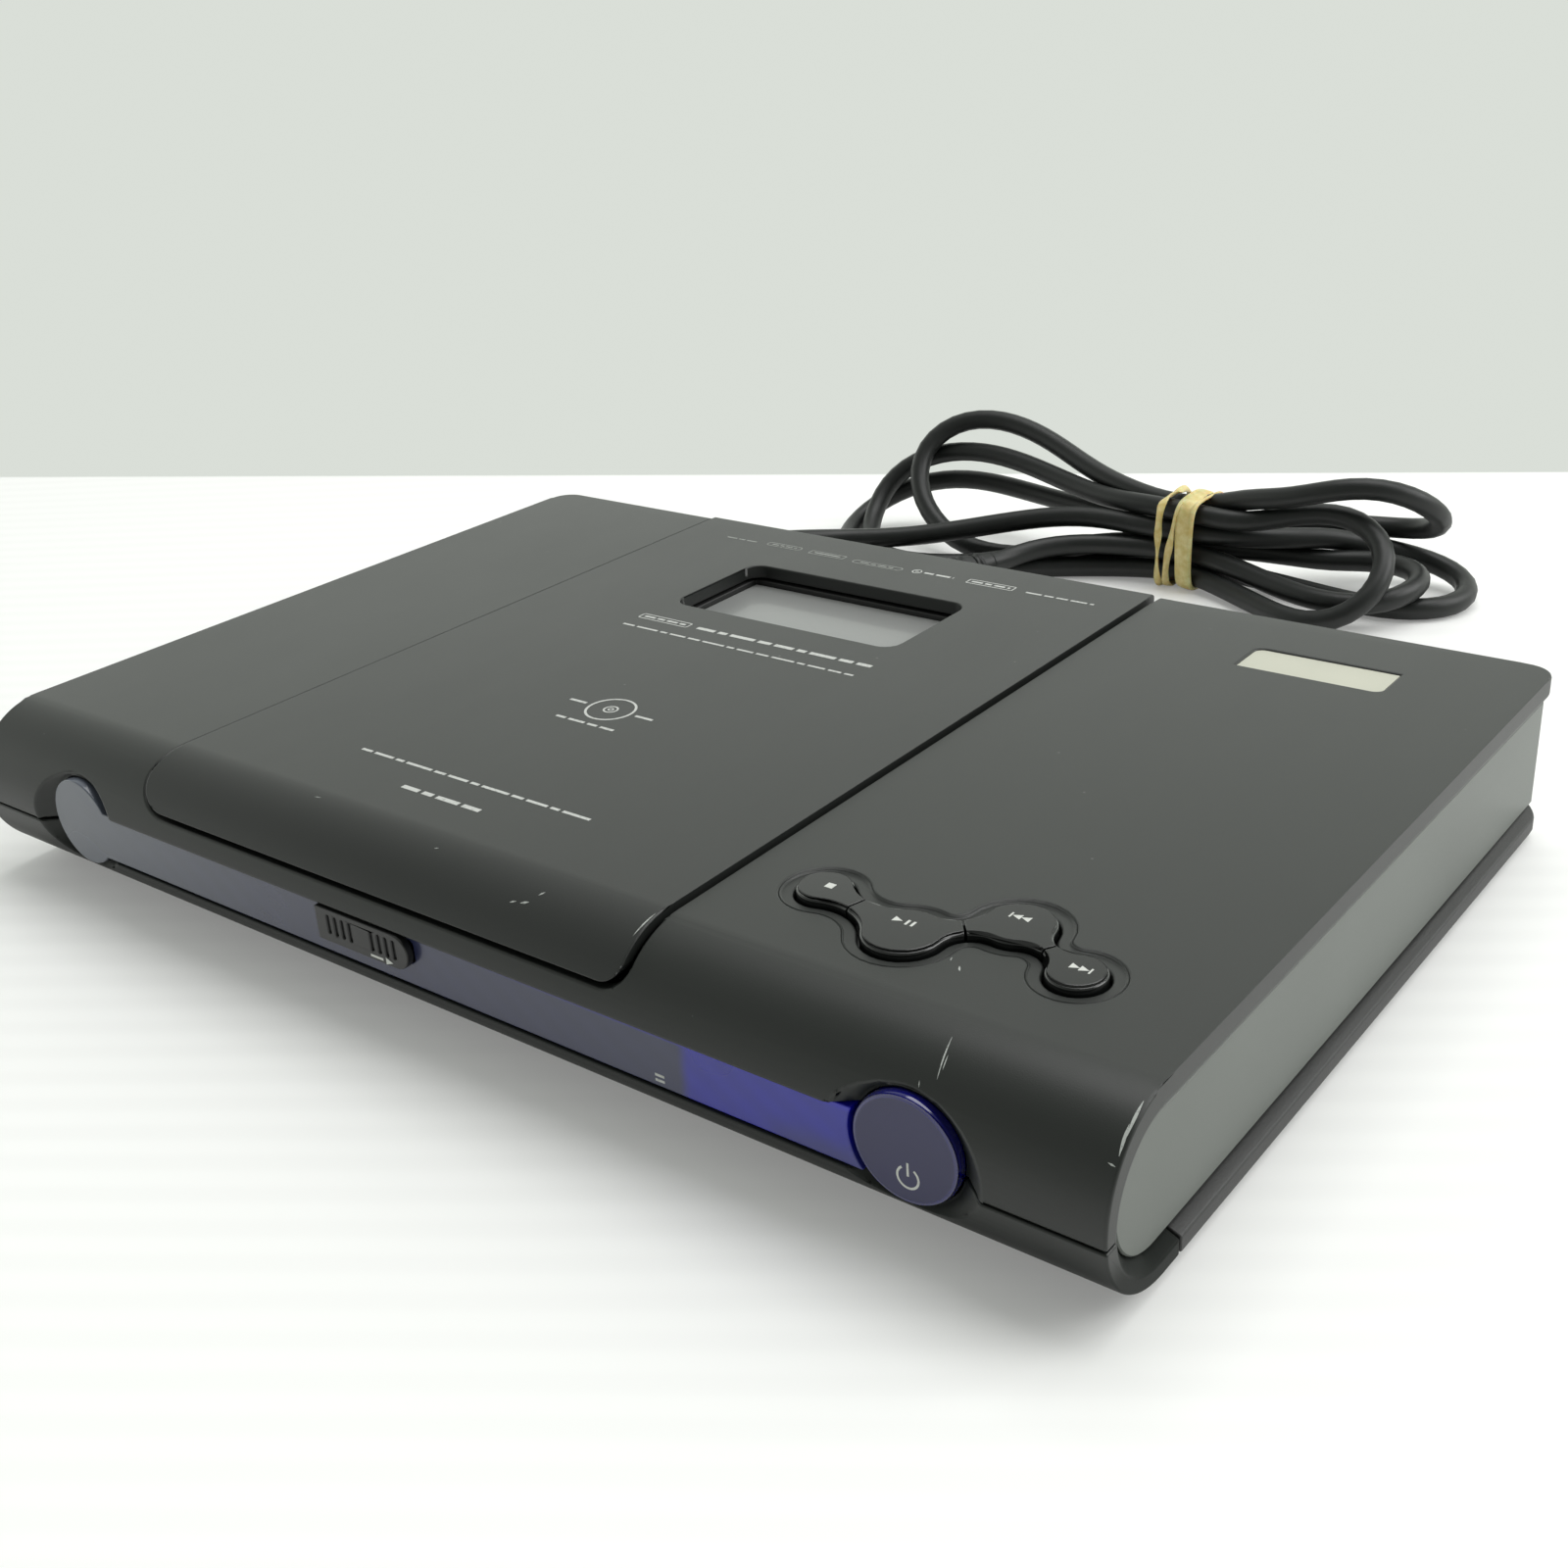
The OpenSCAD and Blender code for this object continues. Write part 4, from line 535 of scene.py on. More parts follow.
def settle(line):
    # strands are pushed a diameter apart, bending is evened out, tight folds open, the step is kept,
    # the table and the band carry them, and the line is drawn back to its own route, ever more weakly
    p, step, tie, rounds = line.copy(), lead["step"], lead["tie"], lead["rounds"]
    index = np.arange(len(p))
    near = np.abs(index[:, None] - index[None]) <= lead["neighbours"]
    front, rear = lead["fixed"]
    first, last = p[:front].copy(), p[-rear:].copy()
    for turn in range(rounds):
        apart = p[:, None] - p[None]
        distance = np.linalg.norm(apart, axis=2)
        distance[near] = np.inf
        push = np.clip(lead["gap"] - distance, 0, None)
        move = (apart / distance[..., None] * (push * 0.5)[..., None]).sum(1)
        move /= np.maximum((push > 0).sum(1), 1)[:, None]
        even, chord = np.zeros_like(p), np.zeros_like(p)
        even[2:-2] = (-p[:-4] + 4 * p[1:-3] + 4 * p[3:-1] - p[4:]) / 6 - p[2:-2]
        chord[2:-2] = (p[:-4] + p[4:]) / 2 - p[2:-2]
        # radius of a fold is the square of two steps over twice its rise from the chord
        tight = np.linalg.norm(chord, axis=1, keepdims=True) * 2 * lead["bend"] / (2 * step) ** 2 - 1
        tight = np.clip(tight, 0, 1)
        back = (line - p) * lead["home"] * (1 - turn / rounds) * (1 - tight)
        p += move * lead["push"] + even * lead["even"] + chord * tight * lead["open"] + back
        link = p[1:] - p[:-1]
        pull = link * (1 - step / np.linalg.norm(link, axis=1, keepdims=True)) * lead["pull"]
        p[:-1] += pull
        p[1:] -= pull
        p[:, 2] = np.maximum(p[:, 2], lead["low"])
        held = np.abs(p[:, 0] - tie[0]) < lead["held"]
        p[held, 1] = np.clip(p[held, 1], tie[1] - lead["heldY"], tie[1] + lead["heldY"])
        p[held, 2] = np.clip(p[held, 2], *lead["heldZ"])
        p[:front], p[-rear:] = first, last
    return p


def leadLine():
    # tail, turns with their passes under the band, and the end, as one line in metres
    points = lead["tail"] + [(lead["tie"][0], *lead["passes"]["e"])]
    for turn, under in lead["turns"]:
        points = points + turn + [(lead["tie"][0], *lead["passes"][under])]
    return settle(evenLine(smoothLine(points + lead["end"]), lead["step"])) / 1000


def addLead():
    line = leadLine()
    length = float(np.linalg.norm(np.diff(line, axis=0), axis=1).sum())
    curve = bpy.data.curves.new("mainsLead", "CURVE")
    curve.dimensions = "3D"
    curve.bevel_depth = lead["radius"]
    curve.bevel_resolution = 5
    curve.use_fill_caps = True
    spline = curve.splines.new("POLY")
    spline.points.add(len(line) - 1)
    spline.points.foreach_set("co", np.column_stack([line, np.ones(len(line))]).ravel())
    spline.use_smooth = True
    curve.materials.append(finishes["cord"])
    piece = bpy.data.objects.new("mainsLead", curve)
    scene.collection.objects.link(piece)
    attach(piece, "housing")
    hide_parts("mains_cord", "cord_bundle", "plug_cord")
    print("lead laid, metres:", round(length, 3))
    return piece, length


band = {
    "tie": (0.005, 0.202, 0.0135),  # middle of the wrapped turns
    "halfY": 0.0094, "halfZ": 0.0126,
    "thick": 0.0009,
    "corner": 5,  # power of the rounded rectangle
    "flat": 0.12,  # a strand without twists rocks by this angle, radians
    "low": 0.00005,
    "points": (120, 12),  # round the turns, round a strand
    # place along the lead, drift, phase, twists, half width of each strand
    "strands": [(-0.0048, 0.0003, 0.5, 4, 0.0011), (-0.0008, 0.0022, 0.2, 3, 0.0011),
                (0.0024, 0.0006, 4.0, 0, 0.0025), (0.0056, 0.0005, 1.2, 1, 0.0007)],
}


def bandStrand(shift, drift, phase, twists, half):
    # a flat oval section, twisting, carried round a rounded rectangle in the YZ plane and drifting along X
    around, section = (np.linspace(0, 2 * np.pi, count, endpoint=False) for count in band["points"])
    c, s, power = np.cos(around), np.sin(around), band["corner"]
    square = (np.abs(c) ** power + np.abs(s) ** power) ** (-1 / power)
    x = band["tie"][0] + shift + drift * np.sin(around + phase)
    twist = (1.0 if twists else band["flat"]) * np.sin(max(twists, 1) * around + phase)
    u, v = np.cos(section)[None] * half, np.sin(section)[None] * band["thick"] / 2
    alongX = u * np.cos(twist)[:, None] - v * np.sin(twist)[:, None]
    outward = u * np.sin(twist)[:, None] + v * np.cos(twist)[:, None] + band["thick"] / 2
    y = band["tie"][1] + (c * square * band["halfY"])[:, None] + outward * c[:, None]
    z = band["tie"][2] + (s * square * band["halfZ"])[:, None] + outward * s[:, None]
    return np.stack([x[:, None] + alongX, y, np.maximum(z, band["low"])], -1)


def addBand():
    blocks = [bandStrand(*strand) for strand in band["strands"]]
    rings, around = blocks[0].shape[:2]
    faces = sum((ringedFaces(rings, around, k * rings * around) for k in range(len(blocks))), [])
    piece = meshPiece("rubberBand", np.concatenate(blocks), faces, "band", "housing", 60)
    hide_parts("rubber_band")
    return piece


leadPiece, leadLength = addLead()
bandPiece = addBand()
print("rubber band wrapped, strands:", len(band["strands"]))


merging = {"distance": 2e-6, "flat": 0.4}  # metres between doubles, degrees between faces that are joined


def mergedCopy(node):
    # the solid's mesh with its doubles merged and its flat faces joined
    mesh = frame["nodes"][node].data.copy()
    work = bmesh.new()
    work.from_mesh(mesh)
    bmesh.ops.remove_doubles(work, verts=work.verts, dist=merging["distance"])
    bmesh.ops.dissolve_limit(work, angle_limit=math.radians(merging["flat"]), verts=work.verts, edges=work.edges)
    return mesh, work


crown = {
    # metres: depth of the step round a key's top, how much of it stays, longest edge of the rim, width of its round
    "step": 0.0004, "rise": 0.00012, "longest": 0.003, "width": 0.00042, "near": 1e-5,
}


def crownKey(work):
    # the step round a key's top becomes a slope, and its rim is rounded
    top = max(v.co.z for v in work.verts)
    stepped = {v for v in work.verts if abs(v.co.z - top + crown["step"]) < crown["near"]}
    inner = [v for v in stepped if any(e.other_vert(v).co.z > top - crown["near"] for e in v.link_edges)]
    for v in inner:
        v.co.z = top - crown["rise"]
    stepped -= set(inner)
    rim = [e for e in work.edges if e.calc_length() < crown["longest"] and stepped.issuperset(e.verts)]
    bmesh.ops.bevel(work, geom=rim, offset=crown["width"], segments=4, profile=0.5, affect="EDGES",
                    clamp_overlap=True)


wideRound = {
    # metres: width of the round, height of the top face, X of its straight edges that stand out
    "lid": (0.0008, 0.0377, (0.0487, -0.0487)),
    "top_cover": (0.0007, 0.0370, (0.0499, 0.140, -0.140)),
    "end": 0.0885,  # the rounds stop here in Y, before the rear corners
    "near": 0.00006,  # how far a corner may lie off its edge
    "sharp": 0.9,  # least angle between the faces, radians
}


def standsOut(edge, top, places):
    # true for a sharp straight edge of the top face that runs in one of the places, in front of the end
    near, last = wideRound["near"], wideRound["end"] + wideRound["near"]
    if len(edge.link_faces) != 2 or edge.calc_face_angle(0) <= wideRound["sharp"]:
        return False
    return any(all(abs(v.co.x - x) < near and abs(v.co.z - top) < near and v.co.y < last for v in edge.verts)
               for x in places)


def roundWide(work, node):
    # a cut across the end, then a wide round on the edges before it, so that they read as dark lines
    width, top, places = wideRound[node]
    bmesh.ops.bisect_plane(work, geom=work.verts[:] + work.edges[:] + work.faces[:],
                           plane_co=(0, wideRound["end"], 0), plane_no=(0, 1, 0))
    edges = [edge for edge in work.edges if standsOut(edge, top, places)]
    bmesh.ops.bevel(work, geom=edges, offset=width, segments=3, profile=0.5, affect="EDGES", clamp_overlap=True)


edgeRound = {"segments": 2, "angle": 32.0, "faceWeight": 60}  # angle in degrees, past which an edge is rounded


def dress(node, finish, slot, width):
    # a merged copy of the solid with its sharp edges rounded by width, shaded by face area
    mesh, work = mergedCopy(node)
    if node.endswith("_key"):
        crownKey(work)
    if node in wideRound:
        roundWide(work, node)
    work.to_mesh(mesh)
    work.free()
    piece = place("dressed_" + node, mesh, finish, bodyOf(node), edgeRound["angle"])
    rounding = piece.modifiers.new("rounding", "BEVEL")
    rounding.limit_method = "ANGLE"
    rounding.angle_limit = math.radians(edgeRound["angle"])
    rounding.width = width
    rounding.segments = edgeRound["segments"]
    rounding.use_clamp_overlap = False
    weighting = piece.modifiers.new("weighting", "WEIGHTED_NORMAL")
    weighting.weight = edgeRound["faceWeight"]
    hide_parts(node)


def coat(node, finish):
    # the solid stays, and takes a finish
    mesh = frame["nodes"][node].data
    mesh.materials.clear()
    mesh.materials.append(finishes[finish])


dressed = {
    # finish, slot and width of the rounds in metres
    "top_cover": ("shell", "housing", 0.0005), "front_bezel": ("bezel", "housing", 0.0004),
    "bottom_cover": ("base", "base_black", 0.0004), "rear_panel": ("base", "base_black", 0.0003),
    "lid": ("lid", "lid_plastic", 0.00035), "disc_deck": ("deck", "deck_plastic", 0.0003),
    "front_lens": ("strip", "lens_blue", 0.0003), "release_slider": ("slider", "slider_black", 0.0003),
    "stop_key": ("key", "key_black", 0.00012), "play_key": ("key", "key_black", 0.00012),
    "previous_key": ("key", "key_black", 0.00012), "next_key": ("key", "key_black", 0.00012),
    "power_button": ("power", "power_indigo", 0.0004), "name_plate": ("plate", "plate_metal", 0.0001),
    "display_glass": ("pane", "display_glass", 0.0002), "turntable": ("platter", "turntable_black", 0.0002),
    "feet": ("foot", "foot_rubber", 0.0005), "plug_body": ("cord", "cord_black", 0.0008),
    "plug_blades": ("brass", "blade_brass", 0.0003), "hinge_brackets": ("base", "base_black", 0.0003),
    "laser_sled": ("sled", "sled_grey", 0.0003), "transformer": ("coil", "coil_yellow", 0.0004),
    "isolation_mounts": ("mount", "mount_rubber", 0.0003), "heat_sink": ("alloy", "heat_sink", 0.0001),
    "strain_relief": ("cord", "cord_black", 0.0003),
}
for node, look in dressed.items():
    dress(node, *look)
print("solids dressed:", len(dressed))

sidePlate = {
    # metres: inner and outer plane, middle and radius of the hollow's front end
    "inner": 0.13675, "outer": 0.1382, "y": -0.07716, "z": 0.01816, "radius": 0.0123,
    "in": 0.0004, "inLow": 0.0011,  # how far the plate stands in from the hollow, and at its low edge
    "corner": (0.134, 0.089, 0.006), "behind": 0.0001,  # the rear corner's X, Y and radius, and room before it
    "edge": 0.00025,
}


def plateOutline(x, inset):
    # Y and Z round the plate in the plane x, drawn in by inset: a half round in front, whose reach shrinks
    # towards its lower end, and a straight end on the rear corner's circle
    d, (cx, cy, r) = sidePlate, sidePlate["corner"]
    turn = np.radians(np.linspace(90, 270, 37))
    reach = d["radius"] - d["in"] - (d["inLow"] - d["in"]) * np.clip((turn - np.pi) / (np.pi / 2), 0, 1) ** 0.7
    y, z = d["y"] + reach * np.cos(turn), d["z"] + reach * np.sin(turn)
    end = cy + math.sqrt(r * r - (x - cx) ** 2) - d["behind"]
    outline = np.column_stack([np.r_[end, y, end], np.r_[z[0], z, z[-1]]])
    low, high = outline.min(0), outline.max(0)
    middle = (low + high) / 2
    return middle + (outline - middle) * (1 - 2 * inset / (high - low))


def plateMesh(mirror, start):
    # outlines in the inner plane, just short of the outer one, and in it, drawn in by the edge, joined by quads;
    # both ends are closed; start is the number of the first point
    d = sidePlate
    planes = ((d["inner"], 0), (d["outer"] - d["edge"], 0), (d["outer"], d["edge"]))
    outlines = [plateOutline(x, inset) for x, inset in planes]
    count = len(outlines[0])
    points = np.concatenate([np.column_stack([np.full(count, x * mirror), outline])
                             for (x, inset), outline in zip(planes, outlines)])
    i, nextI = start + np.arange(count), start + (np.arange(count) + 1) % count
    walls = [np.stack([i, nextI, nextI + count, i + count], 1) + low for low in (0, count)]
    return points, np.concatenate(walls).tolist() + [i[::-1].tolist(), (i + 2 * count).tolist()]


def addSidePanels():
    # one closed plate laid in the hollow of each side
    right, faces = plateMesh(1, 0)
    left, leftFaces = plateMesh(-1, len(right))
    mesh = bpy.data.meshes.new("sidePanels")
    mesh.from_pydata(np.concatenate([right, left]).tolist(), [], faces + leftFaces)
    work = bmesh.new()
    work.from_mesh(mesh)
    bmesh.ops.remove_doubles(work, verts=work.verts, dist=1e-6)
    bmesh.ops.recalc_face_normals(work, faces=work.faces)
    work.to_mesh(mesh)
    work.free()
    # the panels take the painted-sheen grey
    place("sidePanels", mesh, "panel", "housing", 35)


addSidePanels()
print("side panels laid in")

coated = {
    "display_module": "displayBody", "lid_hinge_pins": "steel", "spindle_motor": "alloy",
    "traverse_frame": "sheet", "guide_rods": "steel", "laser_lens": "lens", "lead_screw": "steel",
    "sled_motor": "alloy", "main_board": "greenBoard", "board_parts": "chip", "power_board": "tanBoard",
    "power_parts": "part", "key_board": "greenBoard", "front_board": "greenBoard", "socket_barrels": "nickel",
    "socket_yellow": "yellow", "socket_white": "white", "socket_red": "red", "socket_green": "green",
    "socket_blue": "blue", "socket_black": "black", "s_video_socket": "black", "case_screws": "steel",
}
for node, finish in coated.items():
    coat(node, finish)
print("solids coated:", len(coated))


def bar(x, y, w, h):
    return [np.array([[x, y], [x + w, y], [x + w, y + h], [x, y + h]], float)]


def dashes(x, y, total, h, widths, gap):
    # short bars from x to x + total, their lengths taken in turn from widths
    lengths = np.resize(widths, 200).astype(float)  # more than any row holds
    start = x + np.r_[0, np.cumsum(lengths + gap)[:-1]]
    keep = start < x + total - 0.2
    start, end = start[keep], np.minimum(start + lengths, x + total)[keep]
    low, high = np.full_like(start, y), np.full_like(start, y + h)
    return list(np.stack([np.stack(p, -1) for p in ((start, low), (end, low), (end, high), (start, high))], 1))


def frameLine(x, y, w, h, r, thick, count=7):
    # line of even thickness round a rectangle with corners of radius r, as a strip of quads
    turn = (np.arange(4)[:, None] * 90 + np.linspace(0, 90, count)[None]) * np.pi / 180
    middles = np.array([[x + w - r, y + h - r], [x + r, y + h - r], [x + r, y + r], [x + w - r, y + r]])
    way = np.stack([np.cos(turn), np.sin(turn)], -1)
    outer = (middles[:, None] + way * r).reshape(-1, 2)
    inner = (middles[:, None] + way * (r - thick)).reshape(-1, 2)
    return list(np.stack([outer, np.roll(outer, -1, 0), np.roll(inner, -1, 0), inner], 1))


def ring(x, y, radius, thick, count=10):
    return frameLine(x - radius, y - radius, 2 * radius, 2 * radius, radius - 1e-4, thick, count)


def arrow(x, y, w, h):
    # triangle from x to x + w, pointing left where w is negative
    points = np.array([[x, y - h / 2], [x + w, y], [x, y + h / 2]], float)
    return [points if w > 0 else points[::-1]]


def stroke(x0, y0, x1, y1, width, step=0.7):
    # thin stroke between two places, in short parts that follow a curved surface; narrow ends by a sine
    a, b = np.array([x0, y0], float), np.array([x1, y1], float)
    length = np.linalg.norm(b - a)
    t = np.linspace(0, 1, max(int(length / step), 2) + 1)[:, None]
    side = np.array([a[1] - b[1], b[0] - a[0]]) / length * width / 2 * (0.1 + 0.9 * np.sin(np.pi * t))
    low, high = a + (b - a) * t - side, a + (b - a) * t + side
    return list(np.stack([low[:-1], low[1:], high[1:], high[:-1]], 1))


def printed(name, shapes, lay, finish, body, thick=0.00003):
    # each outline becomes a thin raised patch; lay turns X, Y in millimetres and a rise into points of the surface
    xy = np.concatenate(shapes)
    count = len(xy)
    points = np.concatenate([lay(xy[:, 0], xy[:, 1], rise) for rise in (0.0, thick)])
    faces, at = [], 0
    for shape in shapes:
        n = len(shape)
        low = at + np.arange(n)
        nextLow = at + (np.arange(n) + 1) % n
        faces += [(low + count).tolist(), low[::-1].tolist()]
        faces += np.stack([low, nextLow, nextLow + count, low + count], 1).tolist()
        at += n
    return meshPiece(name, points, faces, finish, body)


def layTop(z):
    return lambda x, y, rise: np.stack([x / 1000, y / 1000, np.full_like(x, z + rise)], 1)


def layFront(y):
    return lambda x, z, rise: np.stack([x / 1000, np.full_like(x, y - rise), z / 1000], 1)


nose = {"y": -0.078, "z": 0.020, "cover": 0.017, "lid": 0.0177}  # axis and radii of the rounded front, metres


def layNose(radius):
    # rounded front: run over radius is the angle from its upper end; its sine leads forward, its cosine up
    def lay(x, run, rise):
        turn = run / 1000 / radius
        return np.stack([x / 1000, nose["y"] - (radius + rise) * np.sin(turn),
                         nose["z"] + (radius + rise) * np.cos(turn)], 1)
    return lay


lidPrint = {
    "line": 0.3,  # thickness of a frame's line, millimetres
    # plain signs: left end, middle in Y, width, then height, lengths and gap of their short bars, and for a frame
    # its height, the radius of its corners and the room between its ends and the bars
    "faint": [
        (-69, 82.2, 10, 0.6, (3.2, 2.0), 0.7), (-56, 82.8, 11, 0.6, (2.0, 1.2), 0.6, 2.4, 1.1, 1.6),
        (-42, 82.4, 11, 0.7, (8.0,), 1.0, 2.4, 0.4, 1.5), (-28, 81.6, 15, 0.6, (2.6, 1.4), 0.6, 2.2, 1.08, 2.4),
    ],
    "clear": [
        (-6.9, 82.3, 8.4, 0.9, (2.6, 4.0), 0.8), (5.5, 82.4, 13, 0.8, (3.0, 1.8), 0.7, 2.8, 0.5, 1.2),
        (22, 81.8, 18, 0.7, (4.2, 2.4, 3.0), 0.8), (-49.5, 25.8, 15, 0.8, (3.2, 2.2), 0.7, 2.8, 0.6, 1.3),
        (-32, 25.65, 49, 1.3, (5.2, 2.4, 7.0, 3.6), 1.1), (-49.5, 19.55, 66, 0.7, (3.4, 6.2, 2.0, 4.6), 0.9),
        (-48, -61.2, 63, 0.8, (3.0, 5.4, 2.2, 7.2), 0.9), (-27, -69.2, 22, 1.2, (4.6, 2.8, 6.0), 1.1),
        (-28.5, -20.5, 4.6, 0.8, (4.6,), 1.0), (-10.1, -20.5, 4.6, 0.8, (4.6,), 1.0),
        (-25, -28.5, 16, 0.8, (2.6, 4.4), 0.9),
    ],
    # middle, radius and thickness of the rings
    "rings": [(-9.1, 82.3, 1.3, 0.3), (-9.1, 82.3, 0.45, 0.25),
              (-17, -20.5, 5.6, 0.55), (-17, -20.5, 1.7, 0.4), (-17, -20.5, 0.7, 0.3)],
}


def plainSign(x, y, w, h, lengths, gap, around=0, corner=0, room=0):
    # short bars in a row, in a frame where around gives its height
    bars = dashes(x + room, y - h / 2, w - 2 * room, h, lengths, gap)
    return (frameLine(x, y - around / 2, w, around, corner, lidPrint["line"]) if around else []) + bars


def addLidPrint():
    top = layTop(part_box("lid")[1].z)
    faint, clear = (sum((plainSign(*sign) for sign in lidPrint[kind]), []) for kind in ("faint", "clear"))
    clear += sum((ring(*circle) for circle in lidPrint["rings"]), [])
    printed("lidPrintFaint", faint, top, "faintInk", "lid")
    printed("lidPrint", clear, top, "ink", "lid")


keyPrint = {
    "size": 0.78,  # share of the written size
    # transport signs in millimetres: a square, an arrow with two bars, and pairs of arrows with a bar
    "stop_key": bar(67.0, -59.9, 2.0, 2.0),
    "play_key": arrow(82.6, -62.4, 2.2, 2.0) + bar(85.7, -63.4, 0.6, 2.0) + bar(87.1, -63.4, 0.6, 2.0),
    "previous_key": bar(98.2, -52.5, 0.4, 2.0) + arrow(100.8, -51.5, -2.1, 2.0) + arrow(102.9, -51.5, -2.1, 2.0),
    "next_key": arrow(113.9, -60.2, 2.1, 2.0) + arrow(116.0, -60.2, 2.1, 2.0) + bar(118.2, -61.2, 0.4, 2.0),
}


def addKeyPrint():
    # each sign is drawn in towards its middle
    for node in ("stop_key", "play_key", "previous_key", "next_key"):
        middle = np.concatenate(keyPrint[node]).mean(0)
        shapes = [middle + (shape - middle) * keyPrint["size"] for shape in keyPrint[node]]
        printed(node + "_sign", shapes, layTop(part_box(node)[1].z), "keyInk", bodyOf(node))


frontPrint = {
    # millimetres
    "power": (0.6, -4.6, 2.1, 0.4),  # from the button's middle in X and Z, radius, thickness
    "strip": bar(56.0, 14.2, 2.0, 0.5) + bar(56.0, 15.2, 2.0, 0.5),
    "slider": arrow(-7.2, 17.8, 1.9, 1.4) + bar(-11.4, 17.55, 3.4, 0.5),
}


def powerSign(x, z, radius, thick):
    # a ring open at its top, with a bar in the opening
    turn = np.radians(np.linspace(125, 415, 33))
    way = np.stack([np.cos(turn), np.sin(turn)], 1)
    outer, inner = [x, z] + way * radius, [x, z] + way * (radius - thick)
    arcs = list(np.stack([outer[:-1], outer[1:], inner[1:], inner[:-1]], 1))
    return arcs + bar(x - thick / 2, z + radius * 0.1, thick, radius * 1.15)


def addFrontPrint():
    right, up, radius, thick = frontPrint["power"]
    sign = powerSign(buttonCentre[0] * 1000 + right, buttonCentre[1] * 1000 + up, radius, thick)
    printed("powerSign", sign, layFront(buttonBox[0].y), "keyInk", "power_button")
    printed("stripSign", frontPrint["strip"], layFront(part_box("front_lens")[0].y), "ink", "housing")
    printed("sliderSign", frontPrint["slider"], layFront(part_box("release_slider")[0].y), "keyInk", "release_slider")


wear = {
    # thin strokes on the rounded front: X, run down the curve, X, run, width, millimetres; the cover's last three,
    # near X 139 along its right-hand edge, are a painted highlight, and the rest are scuffs
    "lid": [(20.4, 10.4, 21.6, 9.8, 0.35), (22.6, 9.9, 24.2, 9.2, 0.5), (25.0, 7.4, 25.8, 6.4, 0.35),
            (-3.0, 5.4, -2.2, 5.0, 0.2), (-39.0, 3.1, -37.4, 2.8, 0.15), (47.7, 8.6, 48.2, 3.0, 0.3)],
    "cover": [(108.3, 6.0, 109.4, 13.0, 0.24), (109.3, 9.0, 109.6, 11.4, 0.18), (106.8, 14.0, 107.1, 15.0, 0.15),
              (139.1, 5.5, 139.3, 11.4, 0.5), (138.9, 9.5, 139.3, 14.2, 0.5), (138.1, 15.5, 139.3, 15.7, 0.3)],
    "keysEdge": [(99.4, -68.0, 100.2, -69.2, 0.4), (97.0, -66.4, 97.3, -67.3, 0.25)],
}


def addWear():
    lines = {k: sum((stroke(*s) for s in v), []) for k, v in wear.items()}
    printed("lidWear", lines["lid"], layNose(nose["lid"]), "scuffAndGlint", "lid", 0.00002)
    # scuffs on the cover, and along its right-hand edge a painted highlight
    printed("coverWearAndGlint", lines["cover"], layNose(nose["cover"]), "scuffAndGlint", "housing", 0.00002)
    printed("topWear", lines["keysEdge"], layTop(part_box("top_cover")[1].z), "scuffAndGlint", "housing", 0.00002)


addLidPrint()
addKeyPrint()
addFrontPrint()
addWear()
print("signs and wear laid on")

stage = {
    "edge": ((-0.4592, 0.0975), (0.0665, 0.3589)),  # two points of the line where the table meets the backdrop
    "reach": 16.0,
    "table": (0.93, 0.935, 0.92),
    "backdrop": (0.70, 0.735, 0.685),
    "seenWhite": 0.20,  # share of plain white that the camera and mirrors see on the table
    # world brightness in front and at the rear, its shares near the horizon and overhead, and where they change
    "front": 0.42, "rear": 1.15, "sweep": (-0.7, 0.7),
    "low": 1.65, "above": 0.70, "climb": (0.26, 0.56),
    "ribs": 0.0085, "ribShare": 0.6,  # metres between the faint ribs, and how strongly they show
}


def lookers(finish):
    # 1 for camera, glossy and transmission rays
    seen = [finish.add("ShaderNodeLightPath", out="Is %s Ray" % kind) for kind in ("Camera", "Glossy", "Transmission")]
    return seen[0].larger(seen[1]).larger(seen[2])


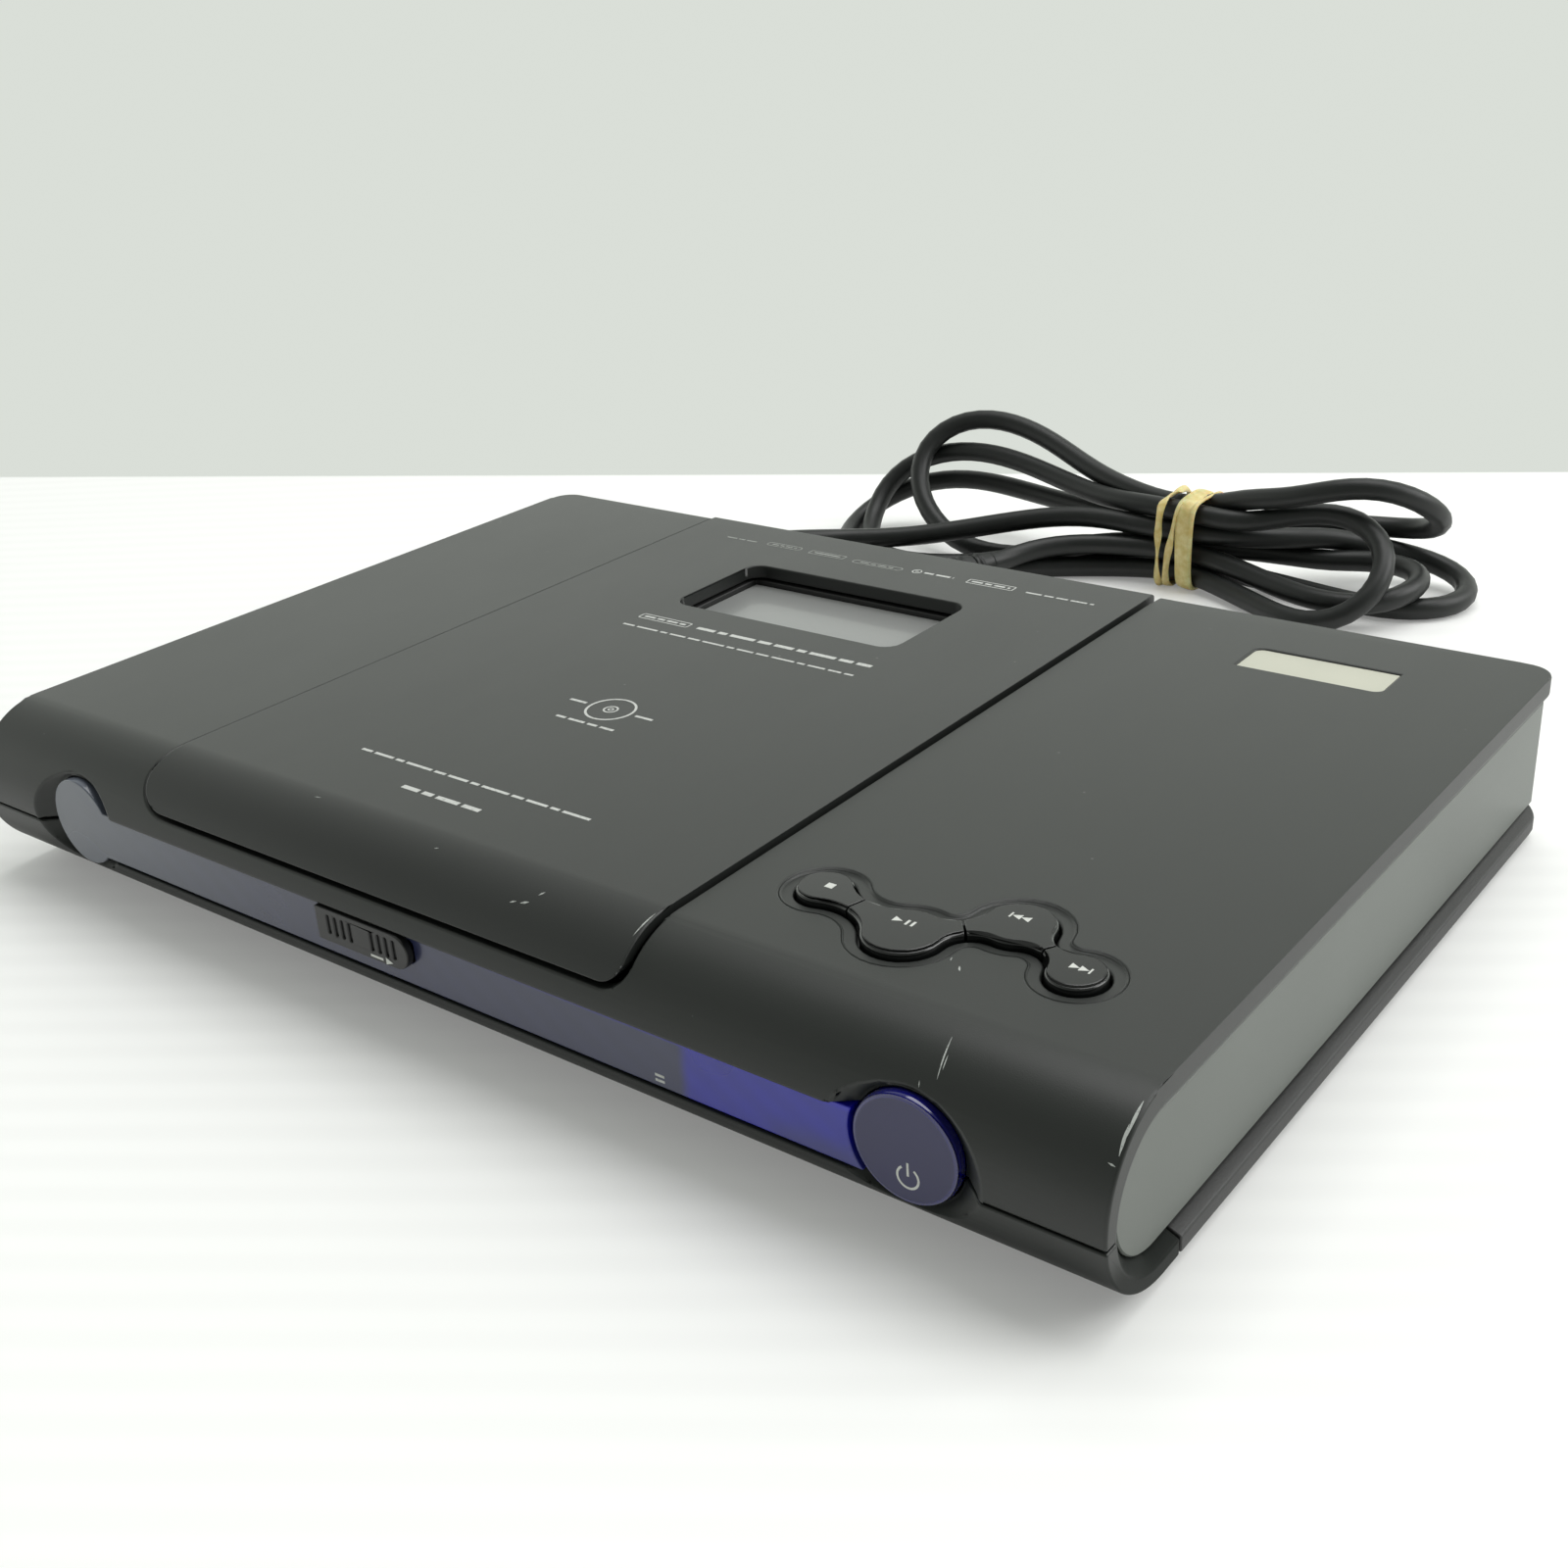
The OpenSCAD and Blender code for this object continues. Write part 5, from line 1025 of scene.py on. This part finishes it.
def addTable():
    # past the edge line the table's colour turns into the backdrop's; faint ribs run across the near part
    finish = Finish("table_top")
    (ax, ay), (bx, by) = stage["edge"]
    length = math.hypot(bx - ax, by - ay)
    nx, ny = -(by - ay) / length, (bx - ax) / length
    x, y = finish.axis("X"), finish.axis("Y")
    beyond = (x * nx + y * ny - (ax * nx + ay * ny)).ramp(-0.0012, 0.0012)
    ribs = ((x * -0.55 + y * 0.83 + finish.noise(5, 2) * 0.004) * (2 * math.pi / stage["ribs"])).sine()
    soft = finish.noise(9, 3)
    near = finish.blend(soft.ramp(0.3, 0.7) * 0.3, stage["table"], scaled(stage["table"], 0.97))
    near = finish.blend(ribs.ramp(-1, 1) * stage["ribShare"], near, scaled(stage["table"], 0.95))
    lit = finish.add("ShaderNodeBsdfPrincipled", values={"Base Color": near, "Roughness": 0.6})
    white = finish.add("ShaderNodeEmission", values={"Color": (1, 1, 0.99, 1), "Strength": 1.0})
    wall = finish.add("ShaderNodeEmission", values={"Color": solid(stage["backdrop"]), "Strength": 1.0})
    top = finish.mix(lookers(finish) * stage["seenWhite"], lit, white)
    material = finish.close(finish.mix(beyond, top, wall))
    mesh = bpy.data.meshes.new("table")
    r = stage["reach"]
    mesh.from_pydata([(-r, -r, 0), (r, -r, 0), (r, r, 0), (-r, r, 0)], [], [(0, 1, 2, 3)])
    mesh.materials.append(material)
    table = bpy.data.objects.new("table", mesh)
    scene.collection.objects.link(table)


lamps = {
    # place, size, power
    "overhead": ((0.1, 0.5, 1.8), (1.6, 1.2), 19),
    "right": ((1.2, 0.75, 1.0), (1.2, 0.9), 15),
}


def addLight(name, spot, size, power):
    data = bpy.data.lights.new(name, "AREA")
    data.shape, data.size, data.size_y = "RECTANGLE", size[0], size[1]
    data.energy = power
    light = bpy.data.objects.new(name, data)
    scene.collection.objects.link(light)
    light.location = spot
    light.rotation_euler = (-Vector(spot)).to_track_quat("-Z", "Y").to_euler()


def addWorld():
    # one soft gradient: the backdrop's colour, brightest low at the rear left, dimmer in front and overhead
    scene.world = bpy.data.worlds.new("studio")
    finish = Finish("studio", scene.world, "Generated")
    rear = (finish.axis("Y") * 0.8 - finish.axis("X") * 0.6).ramp(*stage["sweep"], stage["front"], stage["rear"])
    strength = rear * finish.axis("Z").ramp(*stage["climb"], stage["low"], stage["above"])
    around = finish.add("ShaderNodeBackground", values={"Color": solid(stage["backdrop"]), "Strength": strength})
    finish.close(around, "ShaderNodeOutputWorld")


addTable()
addWorld()
for name, lamp in lamps.items():
    addLight(name, *lamp)
print("stage lit")
